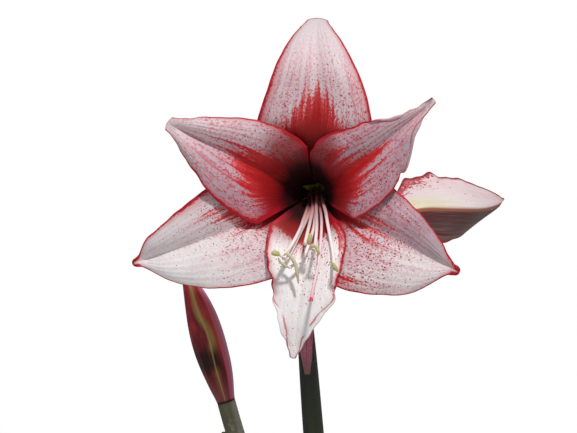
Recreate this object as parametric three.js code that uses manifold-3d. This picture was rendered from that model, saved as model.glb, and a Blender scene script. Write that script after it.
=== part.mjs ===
import * as THREE from 'three';
import { mergeVertices } from 'three/addons/utils/BufferGeometryUtils.js';
import Module from 'manifold-3d';

// A potted amaryllis in flower. Millimetres, +Z up, seen from the -Y side.
// The origin is the centre of the pot's flat foot.

const wasm = await Module();
wasm.setup();

// Clearance between two pieces that touch on the real plant.
const GAP = 0.3;

// Pot, soil and bulb.
const POT_HEIGHT = 142;
const POT_FOOT_RADIUS = 55;
const POT_RIM_RADIUS = 82;
const POT_BAND_HEIGHT = 30;
const POT_FLOOR = 9;
const SOIL_LEVEL = 121;
const BULB_BOTTOM = 62;
const NECK_FLOOR = 178;
const NECK_TOP = 193;
const ROUND_SIDES = 40;

// Flower stalks. The two scapes stand in the neck of the bulb.
const STALK_FOOT = NECK_FLOOR + GAP;
const UMBEL_TOP = 462;
const MAIN_SCAPE_RADIUS = 6.4;
const SIDE_SCAPE_RADIUS = 5.6;
const SPATHE_LENGTH = 86;

// The open bloom faces the viewer, turned a little to the left.
const THROAT = new THREE.Vector3(3, -22, 520);
const BLOOM_YAW = THREE.MathUtils.degToRad(11);
const TEPAL_THICKNESS = 0.9;
const WHORL_STEP_AT_THROAT = 2.2;
const WHORL_STEP_FURTHER_OUT = 4.8;
const TUBE_FACE = -0.8;

// The second flower is an opening bud that points to the right and away.
const BUD_BASE = new THREE.Vector3(38, 34.4, 495.9);
const BUD_AXIS = new THREE.Vector3(0.834, 0.536, 0.129).normalize();
const BUD_LENGTH = 100;
const BUD_LAYER = 2.2;

// Colours.
const TERRACOTTA = 0xb8694a;
const SOIL_BROWN = 0x3d2b20;
const TUNIC_BROWN = 0x9a6a3e;
const SCAPE_GREEN = 0x5d6b45;
const LEAF_GREEN = 0x3f6b35;
const SPATHE_MAUVE = 0x8c3f4d;
const STALK_GREEN = 0x7d8a52;
const TEPAL_WHITE = 0xe6dcdc;
const FILAMENT_WHITE = 0xead8d6;
const STIGMA_PINK = 0xe08a96;

const plant = new THREE.Group();

function point(x, y, z) {
  return new THREE.Vector3(x, y, z);
}

function smooth(value, low, high) {
  const t = THREE.MathUtils.clamp((value - low) / (high - low), 0, 1);
  return t * t * (3 - 2 * t);
}

// Reads a smooth curve through evenly spaced stations, t from 0 to 1.
function station(values, t) {
  const place = t * (values.length - 1);
  const i = Math.min(Math.floor(place), values.length - 2);
  const w = place - i;
  const before = values[Math.max(i - 1, 0)];
  const after = values[Math.min(i + 2, values.length - 1)];
  const slopeIn = (values[i + 1] - before) / 2;
  const slopeOut = (after - values[i]) / 2;
  const rise = values[i + 1] - values[i];
  return values[i] + w * slopeIn + w * w * (3 * rise - 2 * slopeIn - slopeOut)
    + w * w * w * (slopeIn + slopeOut - 2 * rise);
}

function body(points, faces) {
  const geometry = new THREE.BufferGeometry();
  geometry.setAttribute('position', new THREE.Float32BufferAttribute(points.flatMap((p) => p.toArray()), 3));
  geometry.setIndex(faces);
  geometry.computeVertexNormals();
  return geometry;
}

function addPiece(parent, name, geometry, color, roughness) {
  const material = new THREE.MeshStandardMaterial({ color, roughness, metalness: 0 });
  const mesh = new THREE.Mesh(geometry, material);
  mesh.name = name;
  parent.add(mesh);
}

// Joins rings of points, one above the other, into a closed body with a point in each end.
function loft(rings, start, end) {
  const sides = rings[0].length;
  const points = [start, ...rings.flat(), end];
  const last = points.length - 1;
  const at = (ring, side) => 1 + ring * sides + (side % sides);
  const faces = [];
  for (let side = 0; side < sides; side++) {
    faces.push(0, at(0, side + 1), at(0, side));
    for (let ring = 0; ring < rings.length - 1; ring++) {
      faces.push(at(ring, side), at(ring, side + 1), at(ring + 1, side + 1));
      faces.push(at(ring, side), at(ring + 1, side + 1), at(ring + 1, side));
    }
    faces.push(at(rings.length - 1, side), at(rings.length - 1, side + 1), last);
  }
  return body(points, faces);
}

// A stalk along a curve, with a radius that may change along it and round it.
function stalk(places, steps, sides, radiusAt, side = point(1, 0, 0)) {
  const curve = new THREE.CatmullRomCurve3(places);
  const rings = [];
  for (let step = 0; step <= steps; step++) {
    const t = step / steps;
    const centre = curve.getPointAt(t);
    const along = curve.getTangentAt(t);
    const across = side.clone().addScaledVector(along, -side.dot(along)).normalize();
    const third = along.clone().cross(across);
    const ring = [];
    for (let i = 0; i < sides; i++) {
      const angle = (i / sides) * 2 * Math.PI;
      const radius = radiusAt(t, angle);
      ring.push(centre.clone().addScaledVector(across, radius * Math.cos(angle))
        .addScaledVector(third, radius * Math.sin(angle)));
    }
    rings.push(ring);
  }
  return loft(rings, curve.getPointAt(0), curve.getPointAt(1));
}

// A body of revolution about Z whose radius may change a little round it.
function turned(profile, sides, radiusAt = (r) => r, heightAt = (r, z) => z) {
  const rings = profile.slice(1, -1).map(([r, z]) => {
    const ring = [];
    for (let i = 0; i < sides; i++) {
      const angle = (i / sides) * 2 * Math.PI;
      const radius = radiusAt(r, z, angle);
      ring.push(point(radius * Math.cos(angle), radius * Math.sin(angle), heightAt(r, z, angle)));
    }
    return ring;
  });
  return loft(rings, point(0, 0, profile[0][1]), point(0, 0, profile[profile.length - 1][1]));
}

// A blade: the same grid on its front and its back, closed by a strip round its edge.
function blade(surface, thicknessAt, along, across) {
  const step = 0.002;
  const front = [];
  const back = [];
  for (let i = 0; i <= along; i++) {
    for (let j = 0; j <= across; j++) {
      const u = i / along;
      const v = (2 * j) / across - 1;
      const alongIt = surface(Math.min(u + step, 1), v).sub(surface(Math.max(u - step, 0), v));
      const acrossIt = surface(u, Math.min(v + step, 1)).sub(surface(u, Math.max(v - step, -1)));
      const half = alongIt.cross(acrossIt).normalize().multiplyScalar(thicknessAt(u, v) / 2);
      const middle = surface(u, v);
      front.push(middle.clone().add(half));
      back.push(middle.sub(half));
    }
  }
  const count = front.length;
  const at = (i, j) => i * (across + 1) + j;
  const faces = [];
  for (let i = 0; i < along; i++) {
    for (let j = 0; j < across; j++) {
      const [a, b, c, d] = [at(i, j), at(i + 1, j), at(i + 1, j + 1), at(i, j + 1)];
      faces.push(a, b, c, a, c, d);
      faces.push(count + a, count + c, count + b, count + a, count + d, count + c);
    }
  }
  const edge = [];
  for (let i = 0; i < along; i++) edge.push(at(i, 0));
  for (let j = 0; j < across; j++) edge.push(at(along, j));
  for (let i = along; i > 0; i--) edge.push(at(i, across));
  for (let j = across; j > 0; j--) edge.push(at(0, j));
  for (let k = 0; k < edge.length; k++) {
    const here = edge[k];
    const next = edge[(k + 1) % edge.length];
    faces.push(next, here, count + here, next, count + here, count + next);
  }
  return body([...front, ...back], faces);
}

// The middle surface of a strap or bract: a curve with a width, a hollow and a twist along it.
function ribbon(places, side, shape) {
  const curve = new THREE.CatmullRomCurve3(places);
  return (u, v) => {
    const along = curve.getTangentAt(u);
    const across = side.clone().addScaledVector(along, -side.dot(along)).normalize();
    across.applyAxisAngle(along, THREE.MathUtils.degToRad(shape.twist * u));
    const upward = across.clone().cross(along);
    const half = station(shape.halfWidths, u);
    const ripple = shape.ripple * Math.abs(v) ** 3 * Math.sin(2 * Math.PI * (shape.ripples * u + 0.2 * v));
    const lift = shape.hollow * v * v * half + ripple;
    return curve.getPointAt(u).addScaledVector(across, half * v).addScaledVector(upward, lift);
  };
}

function toSolid(geometry) {
  const bare = geometry.clone();
  bare.deleteAttribute('normal');
  bare.deleteAttribute('uv');
  const merged = mergeVertices(bare);
  return new wasm.Manifold(new wasm.Mesh({
    numProp: 3,
    vertProperties: new Float32Array(merged.attributes.position.array),
    triVerts: new Uint32Array(merged.index.array),
  }));
}

// Fuses overlapping bodies into one.
function fuse(geometries) {
  const mesh = geometries.map(toSolid).reduce((whole, part) => whole.add(part)).getMesh();
  const geometry = new THREE.BufferGeometry();
  geometry.setAttribute('position', new THREE.Float32BufferAttribute(mesh.vertProperties, 3));
  geometry.setIndex(Array.from(mesh.triVerts));
  geometry.computeVertexNormals();
  return geometry;
}

// Inner wall of the pot, a straight slope from its floor to its rim.
const POT_INNER_FOOT = 50;
const POT_INNER_TOP = 75;

function potInnerRadius(height) {
  const share = (height - POT_FLOOR - 4) / (POT_HEIGHT - 4 - POT_FLOOR - 4);
  return POT_INNER_FOOT + (POT_INNER_TOP - POT_INNER_FOOT) * share;
}

function makePot() {
  const band = POT_HEIGHT - POT_BAND_HEIGHT;
  const profile = [
    [0, 0],
    [POT_FOOT_RADIUS - 2, 0],
    [POT_FOOT_RADIUS, 2],
    [POT_RIM_RADIUS - 6.5, band],
    [POT_RIM_RADIUS - 2, band + 0.5],
    [POT_RIM_RADIUS - 1, band + 2],
    [POT_RIM_RADIUS, POT_HEIGHT - 3],
    [POT_RIM_RADIUS - 2, POT_HEIGHT],
    [POT_INNER_TOP + 1.5, POT_HEIGHT],
    [POT_INNER_TOP, POT_HEIGHT - 4],
    [POT_INNER_FOOT, POT_FLOOR + 4],
    [POT_INNER_FOOT - 4, POT_FLOOR],
    [0, POT_FLOOR],
  ];
  const geometry = new THREE.LatheGeometry(profile.map(([r, z]) => new THREE.Vector2(r, z)), ROUND_SIDES);
  geometry.rotateX(Math.PI / 2);
  addPiece(plant, 'pot', geometry, TERRACOTTA, 0.85);
}

// Outline of the bulb below the soil, from the middle of its root plate up to the soil's lip.
const BULB_LOWER = [
  [0, BULB_BOTTOM],
  [15, BULB_BOTTOM + 0.5],
  [24, BULB_BOTTOM + 4],
  [37, BULB_BOTTOM + 14],
  [46, BULB_BOTTOM + 29],
  [50, BULB_BOTTOM + 45],
  [50.5, BULB_BOTTOM + 58],
];

const BULB_UPPER = [
  [48, 133],
  [42.5, 145],
  [35.5, 156],
  [29.8, 166],
  [26.8, 175],
  [26, 184],
  [27.6, NECK_TOP - 1],
  [26.4, NECK_TOP],
  [24.6, NECK_TOP - 3],
  [23.2, NECK_FLOOR + 4],
  [22.8, NECK_FLOOR],
  [0, NECK_FLOOR],
];

function makeBulb() {
  const ribbed = (r, z, angle) => r * (1 + 0.014 * smooth(z, 124, 145) * Math.sin(9 * angle + z * 0.05));
  const bulb = turned([...BULB_LOWER, ...BULB_UPPER], ROUND_SIDES, ribbed);
  addPiece(plant, 'bulb', bulb, TUNIC_BROWN, 0.6);
}

// The soil keeps clods outside this radius and meets the bulb smoothly inside it.
const LIP_RADIUS = 54;

function makeSoil() {
  const wall = potInnerRadius(SOIL_LEVEL) - GAP - 0.1;
  const lip = BULB_LOWER[BULB_LOWER.length - 1];
  const outside = [
    [0, POT_FLOOR + GAP],
    [POT_INNER_FOOT - 4.4, POT_FLOOR + GAP],
    [POT_INNER_FOOT - 0.4, POT_FLOOR + 4.2],
    [wall, SOIL_LEVEL - 0.5],
    [66.5, SOIL_LEVEL + 1],
    [61, SOIL_LEVEL + 0.6],
    [55.5, SOIL_LEVEL + 1.8],
  ];
  const socket = BULB_LOWER.map(([r, z], i) => {
    if (i === 0) return [0, z - GAP - 0.1];
    const before = BULB_LOWER[i - 1];
    const after = BULB_LOWER[Math.min(i + 1, BULB_LOWER.length - 1)];
    const out = new THREE.Vector2(after[1] - before[1], before[0] - after[0]).setLength(GAP + 0.15);
    return [r + out.x, z + out.y];
  });
  socket[socket.length - 1] = [lip[0] + GAP + 0.25, lip[1] + 1.2];
  const clods = (r, z, angle) => {
    if (r < LIP_RADIUS || z < SOIL_LEVEL) return z;
    return z + 1.1 * Math.sin(7 * angle + r) + 0.8 * Math.sin(13 * angle - 2.1 * r);
  };
  const soil = turned([...outside, ...socket.reverse()], ROUND_SIDES, (r) => r, clods);
  addPiece(plant, 'soil', soil, SOIL_BROWN, 0.95);
}

// The main scape carries the umbel: a small flat top from which both flowers grow.
const MAIN_SCAPE = [
  point(8.6, 6, STALK_FOOT),
  point(8.6, 6, STALK_FOOT + 12),
  point(9.5, 10, 240),
  point(6.5, 16, 310),
  point(1, 21, 372),
  point(-3.6, 22.6, 430),
  point(-6, 22, UMBEL_TOP - 9),
  point(-6, 22, UMBEL_TOP),
];

const SIDE_SCAPE_TOP = new THREE.Vector3(-51.2, 10, 392);
const SPATHE_LEAN = new THREE.Vector3(-0.268, 0.045, 0.962).normalize();
const SIDE_SCAPE = [
  point(-9, -6.3, STALK_FOOT),
  point(-9, -6.3, STALK_FOOT + 12),
  point(-17, -6, 240),
  point(-30.5, -1, 310),
  point(-42, 6.5, 360),
  SIDE_SCAPE_TOP.clone().addScaledVector(SPATHE_LEAN, -10),
  SIDE_SCAPE_TOP,
];

function makeScapes() {
  const mainRadius = (t) => MAIN_SCAPE_RADIUS * station([1.15, 1.1, 1.02, 0.92, 0.72], t)
    + 3.6 * smooth(t, 0.955, 1);
  addPiece(plant, 'scape_main', stalk(MAIN_SCAPE, 20, 14, mainRadius), SCAPE_GREEN, 0.55);
  const sideRadius = (t) => SIDE_SCAPE_RADIUS * station([1.2, 1.15, 1.08, 1, 0.97], t);
  addPiece(plant, 'scape_side', stalk(SIDE_SCAPE, 14, 14, sideRadius), SCAPE_GREEN, 0.55);
}

// The closed spathe on the side scape: two bracts still shut round their buds, each with a keel.
function makeClosedSpathe() {
  const up = (distance, aside) => SIDE_SCAPE_TOP.clone().addScaledVector(SPATHE_LEAN, distance)
    .add(point(aside, 0, 0));
  const places = [up(GAP, 0), up(6, 0), up(28, -0.2), up(58, -0.8), up(SPATHE_LENGTH, -3)];
  const radii = [5.6, 7.8, 9.5, 10.3, 10.2, 9.1, 7, 4, 0.9];
  const radiusAt = (t, angle) => {
    const keel = Math.abs(Math.cos(angle)) ** 8;
    const seam = Math.abs(Math.sin(angle)) ** 14;
    return station(radii, t) * (0.985 + 0.08 * keel * smooth(t, 0, 0.3) - 0.03 * seam);
  };
  const front = point(-0.35, -0.94, 0);
  addPiece(plant, 'closed_spathe', stalk(places, 13, 18, radiusAt, front), SPATHE_MAUVE, 0.5);
}

// Two withered bracts hang from the umbel, one in front of the scape and one behind it.
function makeBracts() {
  const front = [
    point(-6.5, 14.4, 457),
    point(-6.8, 8, 459),
    point(-6.2, 4, 451),
    point(-4.6, 4.5, 432),
    point(-3, 7.5, 409),
  ];
  const back = [
    point(-5.5, 29.65, 457),
    point(-5, 35.5, 458.8),
    point(-5, 38.5, 450),
    point(-9, 37.5, 438),
    point(-12, 35, 426),
  ];
  const shape = { halfWidths: [2.6, 5.4, 5.8, 4.8, 3.6, 1.6], hollow: -0.35, ripple: 0.5, ripples: 2, twist: 25 };
  const across = point(-1, 0, 0);
  addPiece(plant, 'bract_front', blade(ribbon(front, across, shape), () => 0.8, 12, 4), SPATHE_MAUVE, 0.7);
  const mirrored = { ...shape, twist: -35 };
  const acrossBack = point(1, 0, 0);
  addPiece(plant, 'bract_back', blade(ribbon(back, acrossBack, mirrored), () => 0.8, 12, 4), SPATHE_MAUVE, 0.7);
}

// Strap leaves stand in two ranks in the neck of the bulb and arch away from it.
const RANK = THREE.MathUtils.degToRad(125);
const LEAVES = [
  { name: 'leaf_front_outer', rank: -1, foot: 17.6, aside: 1, length: 300, lean: [5, 128], bend: 1.5, half: 19 },
  { name: 'leaf_front_inner', rank: -1, foot: 12.2, aside: -2, length: 225, lean: [4, 68], bend: 1.5, half: 17 },
  { name: 'leaf_back_outer', rank: 1, foot: 17.8, aside: 0, length: 280, lean: [6, 112], bend: 1.4, half: 18 },
  { name: 'leaf_back_inner', rank: 1, foot: 12.4, aside: 2, length: 205, lean: [5, 48], bend: 1.3, half: 16 },
];

function makeLeaf(leaf) {
  const out = point(Math.cos(RANK), Math.sin(RANK), 0).multiplyScalar(leaf.rank);
  const across = point(-out.y, out.x, 0);
  const places = [];
  const pieces = 12;
  const place = out.clone().multiplyScalar(leaf.foot).addScaledVector(across, leaf.aside * leaf.rank);
  place.z = STALK_FOOT + 0.6;
  for (let i = 0; i <= pieces; i++) {
    places.push(place.clone());
    const share = ((i + 0.5) / pieces) ** leaf.bend;
    const lean = THREE.MathUtils.degToRad(leaf.lean[0] + (leaf.lean[1] - leaf.lean[0]) * share);
    place.addScaledVector(out, (Math.sin(lean) * leaf.length) / pieces);
    place.z += (Math.cos(lean) * leaf.length) / pieces;
  }
  const widths = [0.55, 0.7, 0.92, 1, 0.98, 0.85, 0.6, 0.12].map((share) => share * leaf.half);
  const shape = { halfWidths: widths, hollow: 0.24, ripple: 0.6, ripples: 2, twist: 12 * leaf.rank };
  const thickness = (u, v) => (3.2 - 1.8 * u) * (1 - 0.6 * v * v) + 0.2;
  const surface = ribbon(places, across.negate(), shape);
  addPiece(plant, leaf.name, blade(surface, thickness, 13, 6), LEAF_GREEN, 0.5);
}

// The open bloom. Its six tepals share one funnel, given by radius and forward reach from the
// throat. The outer three lie a step behind the inner three.
const FUNNEL = [
  [4.5, 0],
  [6.5, 12],
  [10.5, 24],
  [18, 37],
  [30, 48],
  [46, 55],
  [64, 58],
  [82, 57],
  [100, 53],
  [118, 47],
].map(([radius, forward]) => new THREE.Vector2(radius, forward));
const funnel = new THREE.SplineCurve(FUNNEL);
const funnelLength = funnel.getLength();

// Each tepal: direction in degrees at its foot, middle and tip, reach from the throat, and
// half widths from foot to tip on its anticlockwise and clockwise side.
const TEPALS = {
  tepal_top: {
    direction: [88, 80, 88], reach: 137.5, outer: 1, bend: -26, bendFrom: 0.68, wave: 0.8, crease: 1,
    bulge: 1.6, anticlockwise: [4.5, 10.5, 20, 34, 27.4, 16.8, 6.2],
    clockwise: [4.5, 10.5, 20, 37, 30.6, 17.8, 6.7],
  },
  tepal_upper_left: {
    direction: [150, 149.5, 151.5], reach: 111, outer: 0, bend: 6, bendFrom: 0.5, wave: 0.6, crease: 3,
    bulge: 3.4, anticlockwise: [4.5, 10.5, 22, 32.5, 28, 15, 3.2],
    clockwise: [4.5, 10.5, 22, 31, 27, 15.2, 4.6],
  },
  tepal_upper_right: {
    direction: [30, 31, 35.5], reach: 119, outer: 0, bend: 3, bendFrom: 0.5, wave: 1.2, crease: 1.8,
    bulge: 2.2, anticlockwise: [4.5, 10.5, 18, 23.6, 15.8, 6.2, 1.8],
    clockwise: [4.5, 10.5, 22, 30, 27, 8.4, 1.4],
  },
  tepal_lower_left: {
    direction: [208, 205, 202], reach: 136, outer: 1, bend: 0, bendFrom: 0.5, wave: 0.6, crease: 3.4,
    bulge: 2.2, anticlockwise: [4.5, 10.5, 26, 38, 33, 20.5, 1.4],
    clockwise: [4.5, 10.5, 21, 28, 23, 15, 1.4],
  },
  tepal_lower_right: {
    direction: [-31, -24, -25], reach: 126, outer: 1, bend: 0, bendFrom: 0.5, wave: 0.8, crease: 1.8,
    bulge: 2.4, anticlockwise: [4.5, 10.5, 21, 28, 24, 14, 1.5],
    clockwise: [4.5, 10.5, 24, 40, 40, 26, 1.5],
  },
  tepal_bottom: {
    direction: [270, 271.5, 267.5], reach: 118, outer: 0, bend: 0, bendFrom: 0.5, wave: 1.2, crease: 1.5,
    bulge: 1.8, anticlockwise: [4.5, 10.5, 20, 26, 22, 11, 1.6],
    clockwise: [4.5, 10.5, 20, 23, 16.5, 8, 1.6],
  },
};
const MARGIN_WAVES = 3;
const CREASE_WIDTH = 5;
const WIDEST_SHARE = 0.9;

function tepalSurface(tepal) {
  return (u, v) => {
    const distance = u * tepal.reach;
    const wall = funnel.getPointAt(distance / funnelLength);
    const slope = funnel.getTangentAt(distance / funnelLength);
    const half = station(v < 0 ? tepal.anticlockwise : tepal.clockwise, u);
    const x = Math.min(half, WIDEST_SHARE * wall.x) * v;
    const angle = THREE.MathUtils.degToRad(station(tepal.direction, u)) - x / wall.x;
    const behind = WHORL_STEP_AT_THROAT
      + (WHORL_STEP_FURTHER_OUT - WHORL_STEP_AT_THROAT) * smooth(distance, 20, 50);
    const phase = v < 0 ? 0.1 : 0.55;
    const bent = Math.max(0, (u - tepal.bendFrom) / (1 - tepal.bendFrom));
    const lift = -tepal.outer * behind
      + tepal.wave * Math.abs(v) ** 3 * Math.sin(2 * Math.PI * (MARGIN_WAVES * u + phase)) * smooth(u, 0.25, 0.5)
      - tepal.crease * Math.exp(-Math.abs(x) / CREASE_WIDTH) * smooth(u, 0.2, 0.45) * (1 - smooth(u, 0.93, 1))
      + tepal.bulge * Math.sin(Math.PI * Math.abs(v)) * smooth(u, 0.2, 0.5) * (1 - smooth(u, 0.85, 1))
      + tepal.bend * bent * bent;
    const radius = wall.x - slope.y * lift;
    return point(radius * Math.cos(angle), radius * Math.sin(angle), wall.y + slope.x * lift);
  };
}

function makeTepals(bloom) {
  for (const [name, tepal] of Object.entries(TEPALS)) {
    const geometry = blade(tepalSurface(tepal), () => TEPAL_THICKNESS, 15, 8);
    addPiece(bloom, name, geometry, TEPAL_WHITE, 0.45);
  }
}

// Six stamens rise from one small ring on the tube's face. They lie along the lower side of the
// throat and turn up at their ends. x is to the right, y up and z forward from the throat.
const FILAMENTS = [
  [point(-1.3, 2.25, 1), point(-2.4, 0, 10), point(0, -3.6, 19), point(2, -8.6, 28), point(2.4, -13.2, 36),
    point(2.8, -18, 45), point(2.6, -25.6, 55), point(5, -24.6, 64.8)],
  [point(1.3, 2.25, 1), point(1.8, 1.4, 10), point(3, -1.4, 19), point(4, -7, 28), point(5.6, -12.4, 36),
    point(7.3, -18, 45), point(8.4, -25.9, 56), point(9, -29.2, 66)],
  [point(-2.6, 0, 1), point(-3.6, -1.6, 10), point(-1.8, -5.8, 19), point(-1.6, -10, 28), point(-1.8, -14, 36),
    point(-2, -18.6, 45), point(-5.6, -28.3, 58), point(-8.6, -32, 67.2)],
  [point(-1.3, -2.25, 1), point(-2.7, -3.1, 10), point(0.2, -6.2, 19), point(0.4, -10.2, 28), point(-0.4, -14.8, 36),
    point(-2, -20.8, 45), point(-7, -34, 57), point(-8, -33.6, 63.8)],
  [point(2.6, 0, 1), point(3.9, -1.2, 10), point(5.8, -2.2, 19), point(8.2, -6.2, 28), point(10.8, -9.8, 36),
    point(13.6, -15.2, 46), point(18.4, -31, 56), point(20.6, -39, 65.2)],
  [point(1.3, -2.25, 1), point(-0.7, -4.1, 10), point(2, -5.8, 19), point(3.6, -9.6, 28), point(4.6, -14, 36),
    point(5, -20.4, 45), point(1, -34.6, 57), point(-4.6, -38.6, 63.8)],
];
const ANTHERS = [
  [point(4.4, -26.5, 64.2), point(5.6, -22.5, 65.4), point(6.3, -19, 65.6)],
  [point(8, -30.4, 64), point(9.6, -28.2, 67), point(12.2, -28.8, 67.2)],
  [point(-6.9, -33.6, 66), point(-9.6, -31, 68), point(-12.6, -29.8, 68.4)],
  [point(-9.6, -31.4, 63.4), point(-4.6, -38.4, 64.2), point(-1.4, -47.4, 63)],
  [point(21.4, -40.6, 64), point(20, -37.8, 66), point(17.4, -35, 66.4)],
  [point(-3.4, -40, 62.4), point(-5.6, -37.2, 64.6), point(-7.4, -33.2, 66)],
];
const FILAMENT_RADIUS = 0.95;
const ANTHER_RADIUS = 1.6;

function makeStamens(bloom) {
  const ring = new THREE.LatheGeometry([
    new THREE.Vector2(1.6, TUBE_FACE + GAP),
    new THREE.Vector2(3.5, TUBE_FACE + GAP),
    new THREE.Vector2(3.4, 1.8),
    new THREE.Vector2(1.6, 1.8),
    new THREE.Vector2(1.6, TUBE_FACE + GAP),
  ], 16);
  ring.rotateX(Math.PI / 2);
  const filaments = FILAMENTS.map((places) => stalk(places, 9, 6, (t) => FILAMENT_RADIUS * (1 - 0.15 * t)));
  const anthers = ANTHERS.map((places) => {
    const rounded = (t) => ANTHER_RADIUS * (0.35 + 0.65 * Math.sin(Math.PI * (0.08 + 0.84 * t)));
    return stalk(places, 5, 6, rounded);
  });
  addPiece(bloom, 'stamens', fuse([ring, ...filaments, ...anthers]), FILAMENT_WHITE, 0.5);
}

// The style passes through the stamens' ring and ends in a stigma with three lobes.
function makePistil(bloom) {
  const places = [
    point(0, 0, TUBE_FACE + GAP),
    point(0, 0, 2.6),
    point(1.7, -2.5, 10),
    point(4.2, -4.6, 19),
    point(6.2, -8.4, 28),
    point(8.2, -11.4, 36),
    point(10.2, -17.4, 46),
    point(11.3, -34.5, 60),
    point(10, -47.3, 68),
    point(9.5, -54.6, 73.4),
  ];
  const style = stalk(places, 14, 7, (t) => 0.8 + 0.25 * smooth(t, 0.85, 1));
  const end = places[places.length - 1];
  const lobes = [90, 210, 330].map((degrees) => {
    const angle = THREE.MathUtils.degToRad(degrees);
    const out = point(Math.cos(angle) * 2.2, Math.sin(angle) * 2.2, 1.2);
    return stalk([end.clone().sub(point(0, 0, 0.4)), end.clone().addScaledVector(out, 0.55), end.clone().add(out)],
      3, 6, (t) => 0.95 - 0.35 * t, point(0, 0, 1));
  });
  addPiece(bloom, 'pistil', fuse([style, ...lobes]), STIGMA_PINK, 0.5);
}

// A flower's stalk in one piece: the pedicel, the ovary, and the tube that carries its tepals.
const PEDICEL_RADIUS = 3.3;
const OVARY_RADIUS = 6;
const TUBE_RADIUS = 4.8;

function flowerStalk(places, name, side) {
  const face = places[places.length - 1];
  const curve = new THREE.CatmullRomCurve3(places);
  const length = curve.getLength();
  const radiusAt = (t, angle) => {
    const left = (1 - t) * length;
    const ovary = Math.exp(-(((left - 24) / 8) ** 2));
    const lobes = 1 + 0.07 * ovary * Math.cos(3 * angle);
    const flare = 3.4 * smooth(-left, -9, 0);
    const slim = PEDICEL_RADIUS + (TUBE_RADIUS - PEDICEL_RADIUS) * smooth(-left, -34, -14);
    return (Math.max(slim, PEDICEL_RADIUS + (OVARY_RADIUS - PEDICEL_RADIUS) * ovary) + flare) * lobes;
  };
  addPiece(plant, name, stalk(places, 20, 12, radiusAt, side), STALK_GREEN, 0.5);
  return face;
}

function makeBloom() {
  const facing = point(-Math.sin(BLOOM_YAW), -Math.cos(BLOOM_YAW), 0);
  const behind = (distance) => THROAT.clone().addScaledVector(facing, -distance);
  flowerStalk([
    point(-9, 20, UMBEL_TOP + GAP),
    point(-9, 20.2, UMBEL_TOP + 6),
    point(-8, 23.5, 478),
    point(-3, 29, 497),
    point(5, 30.5, 512),
    behind(40),
    behind(20),
    behind(-TUBE_FACE),
  ], 'flower_stalk_main', point(1, 0, 0));
  const bloom = new THREE.Group();
  bloom.position.copy(THROAT);
  bloom.rotation.set(Math.PI / 2, 0, -BLOOM_YAW, 'ZXY');
  plant.add(bloom);
  makeTepals(bloom);
  makeStamens(bloom);
  makePistil(bloom);
}

// The opening bud. Its outline from base to tip, and its three outer tepals, each folded along a
// keel. One faces the viewer and wraps over the other two.
const BUD_RADII = [5, 13.5, 20.5, 21.3, 21, 18.8, 13.5, 7.6, 1.4];
const BUD_TWIST = [-23, -1, 20];
const BUD_CREST = 2.6;
const BUD_TEPALS = {
  bud_tepal_front: {
    keel: 171, over: 1, share: 1, clockwise: [50, 60, 78, 88, 86, 84, 80, 70, 38],
    anticlockwise: [50, 55, 60, 66, 72, 85, 85, 72, 38],
  },
  bud_tepal_upper: {
    keel: 51, over: 0, share: 0.95, clockwise: [50, 56, 57, 57, 57, 57, 55, 50, 36],
    anticlockwise: [50, 56, 58, 58, 58, 58, 56, 50, 36],
  },
  bud_tepal_lower: {
    keel: 291, over: 0, share: 0.95, clockwise: [50, 56, 58, 58, 58, 58, 56, 50, 36],
    anticlockwise: [50, 56, 57, 57, 57, 57, 55, 50, 36],
  },
};

function budRadius(share) {
  return station(BUD_RADII, Math.min(share, 1));
}

function budTepalSurface(tepal) {
  return (u, v) => {
    const share = u * tepal.share;
    const half = THREE.MathUtils.degToRad(station(v < 0 ? tepal.anticlockwise : tepal.clockwise, u));
    const fromKeel = half * v;
    const keel = THREE.MathUtils.degToRad(tepal.keel + station(BUD_TWIST, share));
    const fold = Math.cos(fromKeel) + Math.sqrt(Math.sin(fromKeel) ** 2 + 0.006);
    const crest = BUD_CREST * Math.exp(-(((u - 0.36) / 0.05) ** 2));
    const ruffle = tepal.over * Math.max(v, 0) ** 4 * (crest + 0.7 * Math.sin(2 * Math.PI * (3.4 * u - 0.1)))
      * smooth(u, 0.15, 0.3) * (1 - smooth(u, 0.6, 0.85));
    const layer = tepal.over * BUD_LAYER * (1 - smooth(share, 0.93, 1));
    const radius = budRadius(share) / fold + layer + ruffle;
    const angle = keel - fromKeel;
    return point(radius * Math.cos(angle), radius * Math.sin(angle), share * BUD_LENGTH);
  };
}

function makeOpeningBud() {
  const backward = (distance) => BUD_BASE.clone().addScaledVector(BUD_AXIS, -distance);
  const beside = point(-BUD_AXIS.y, BUD_AXIS.x, 0).normalize();
  flowerStalk([
    point(-2.2, 24.6, UMBEL_TOP + GAP),
    point(-2.2, 24.7, UMBEL_TOP + 6),
    point(3.5, 24, 482.5),
    backward(30),
    backward(15),
    backward(-TUBE_FACE),
  ], 'flower_stalk_bud', beside);
  const bud = new THREE.Group();
  const upward = BUD_AXIS.clone().cross(beside);
  bud.position.copy(BUD_BASE);
  bud.quaternion.setFromRotationMatrix(new THREE.Matrix4().makeBasis(beside, upward, BUD_AXIS));
  plant.add(bud);
  for (const [name, tepal] of Object.entries(BUD_TEPALS)) {
    const geometry = blade(budTepalSurface(tepal), () => TEPAL_THICKNESS, 14, 8);
    addPiece(bud, name, geometry, TEPAL_WHITE, 0.5);
  }
  const innerLength = 0.93 * BUD_LENGTH;
  const innerRadius = (t, angle) => (0.56 * budRadius(0.93 * t) - 1.2) * (1 + 0.06 * Math.cos(3 * angle));
  const core = stalk([point(0, 0, TUBE_FACE + GAP), point(0, 0, innerLength / 2), point(0, 0, innerLength)],
    12, 12, innerRadius);
  addPiece(bud, 'bud_inner_tepals', core, TEPAL_WHITE, 0.5);
}

makePot();
makeSoil();
makeBulb();
makeScapes();
makeClosedSpathe();
makeBracts();
LEAVES.forEach(makeLeaf);
makeBloom();
makeOpeningBud();

export default plant;
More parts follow.
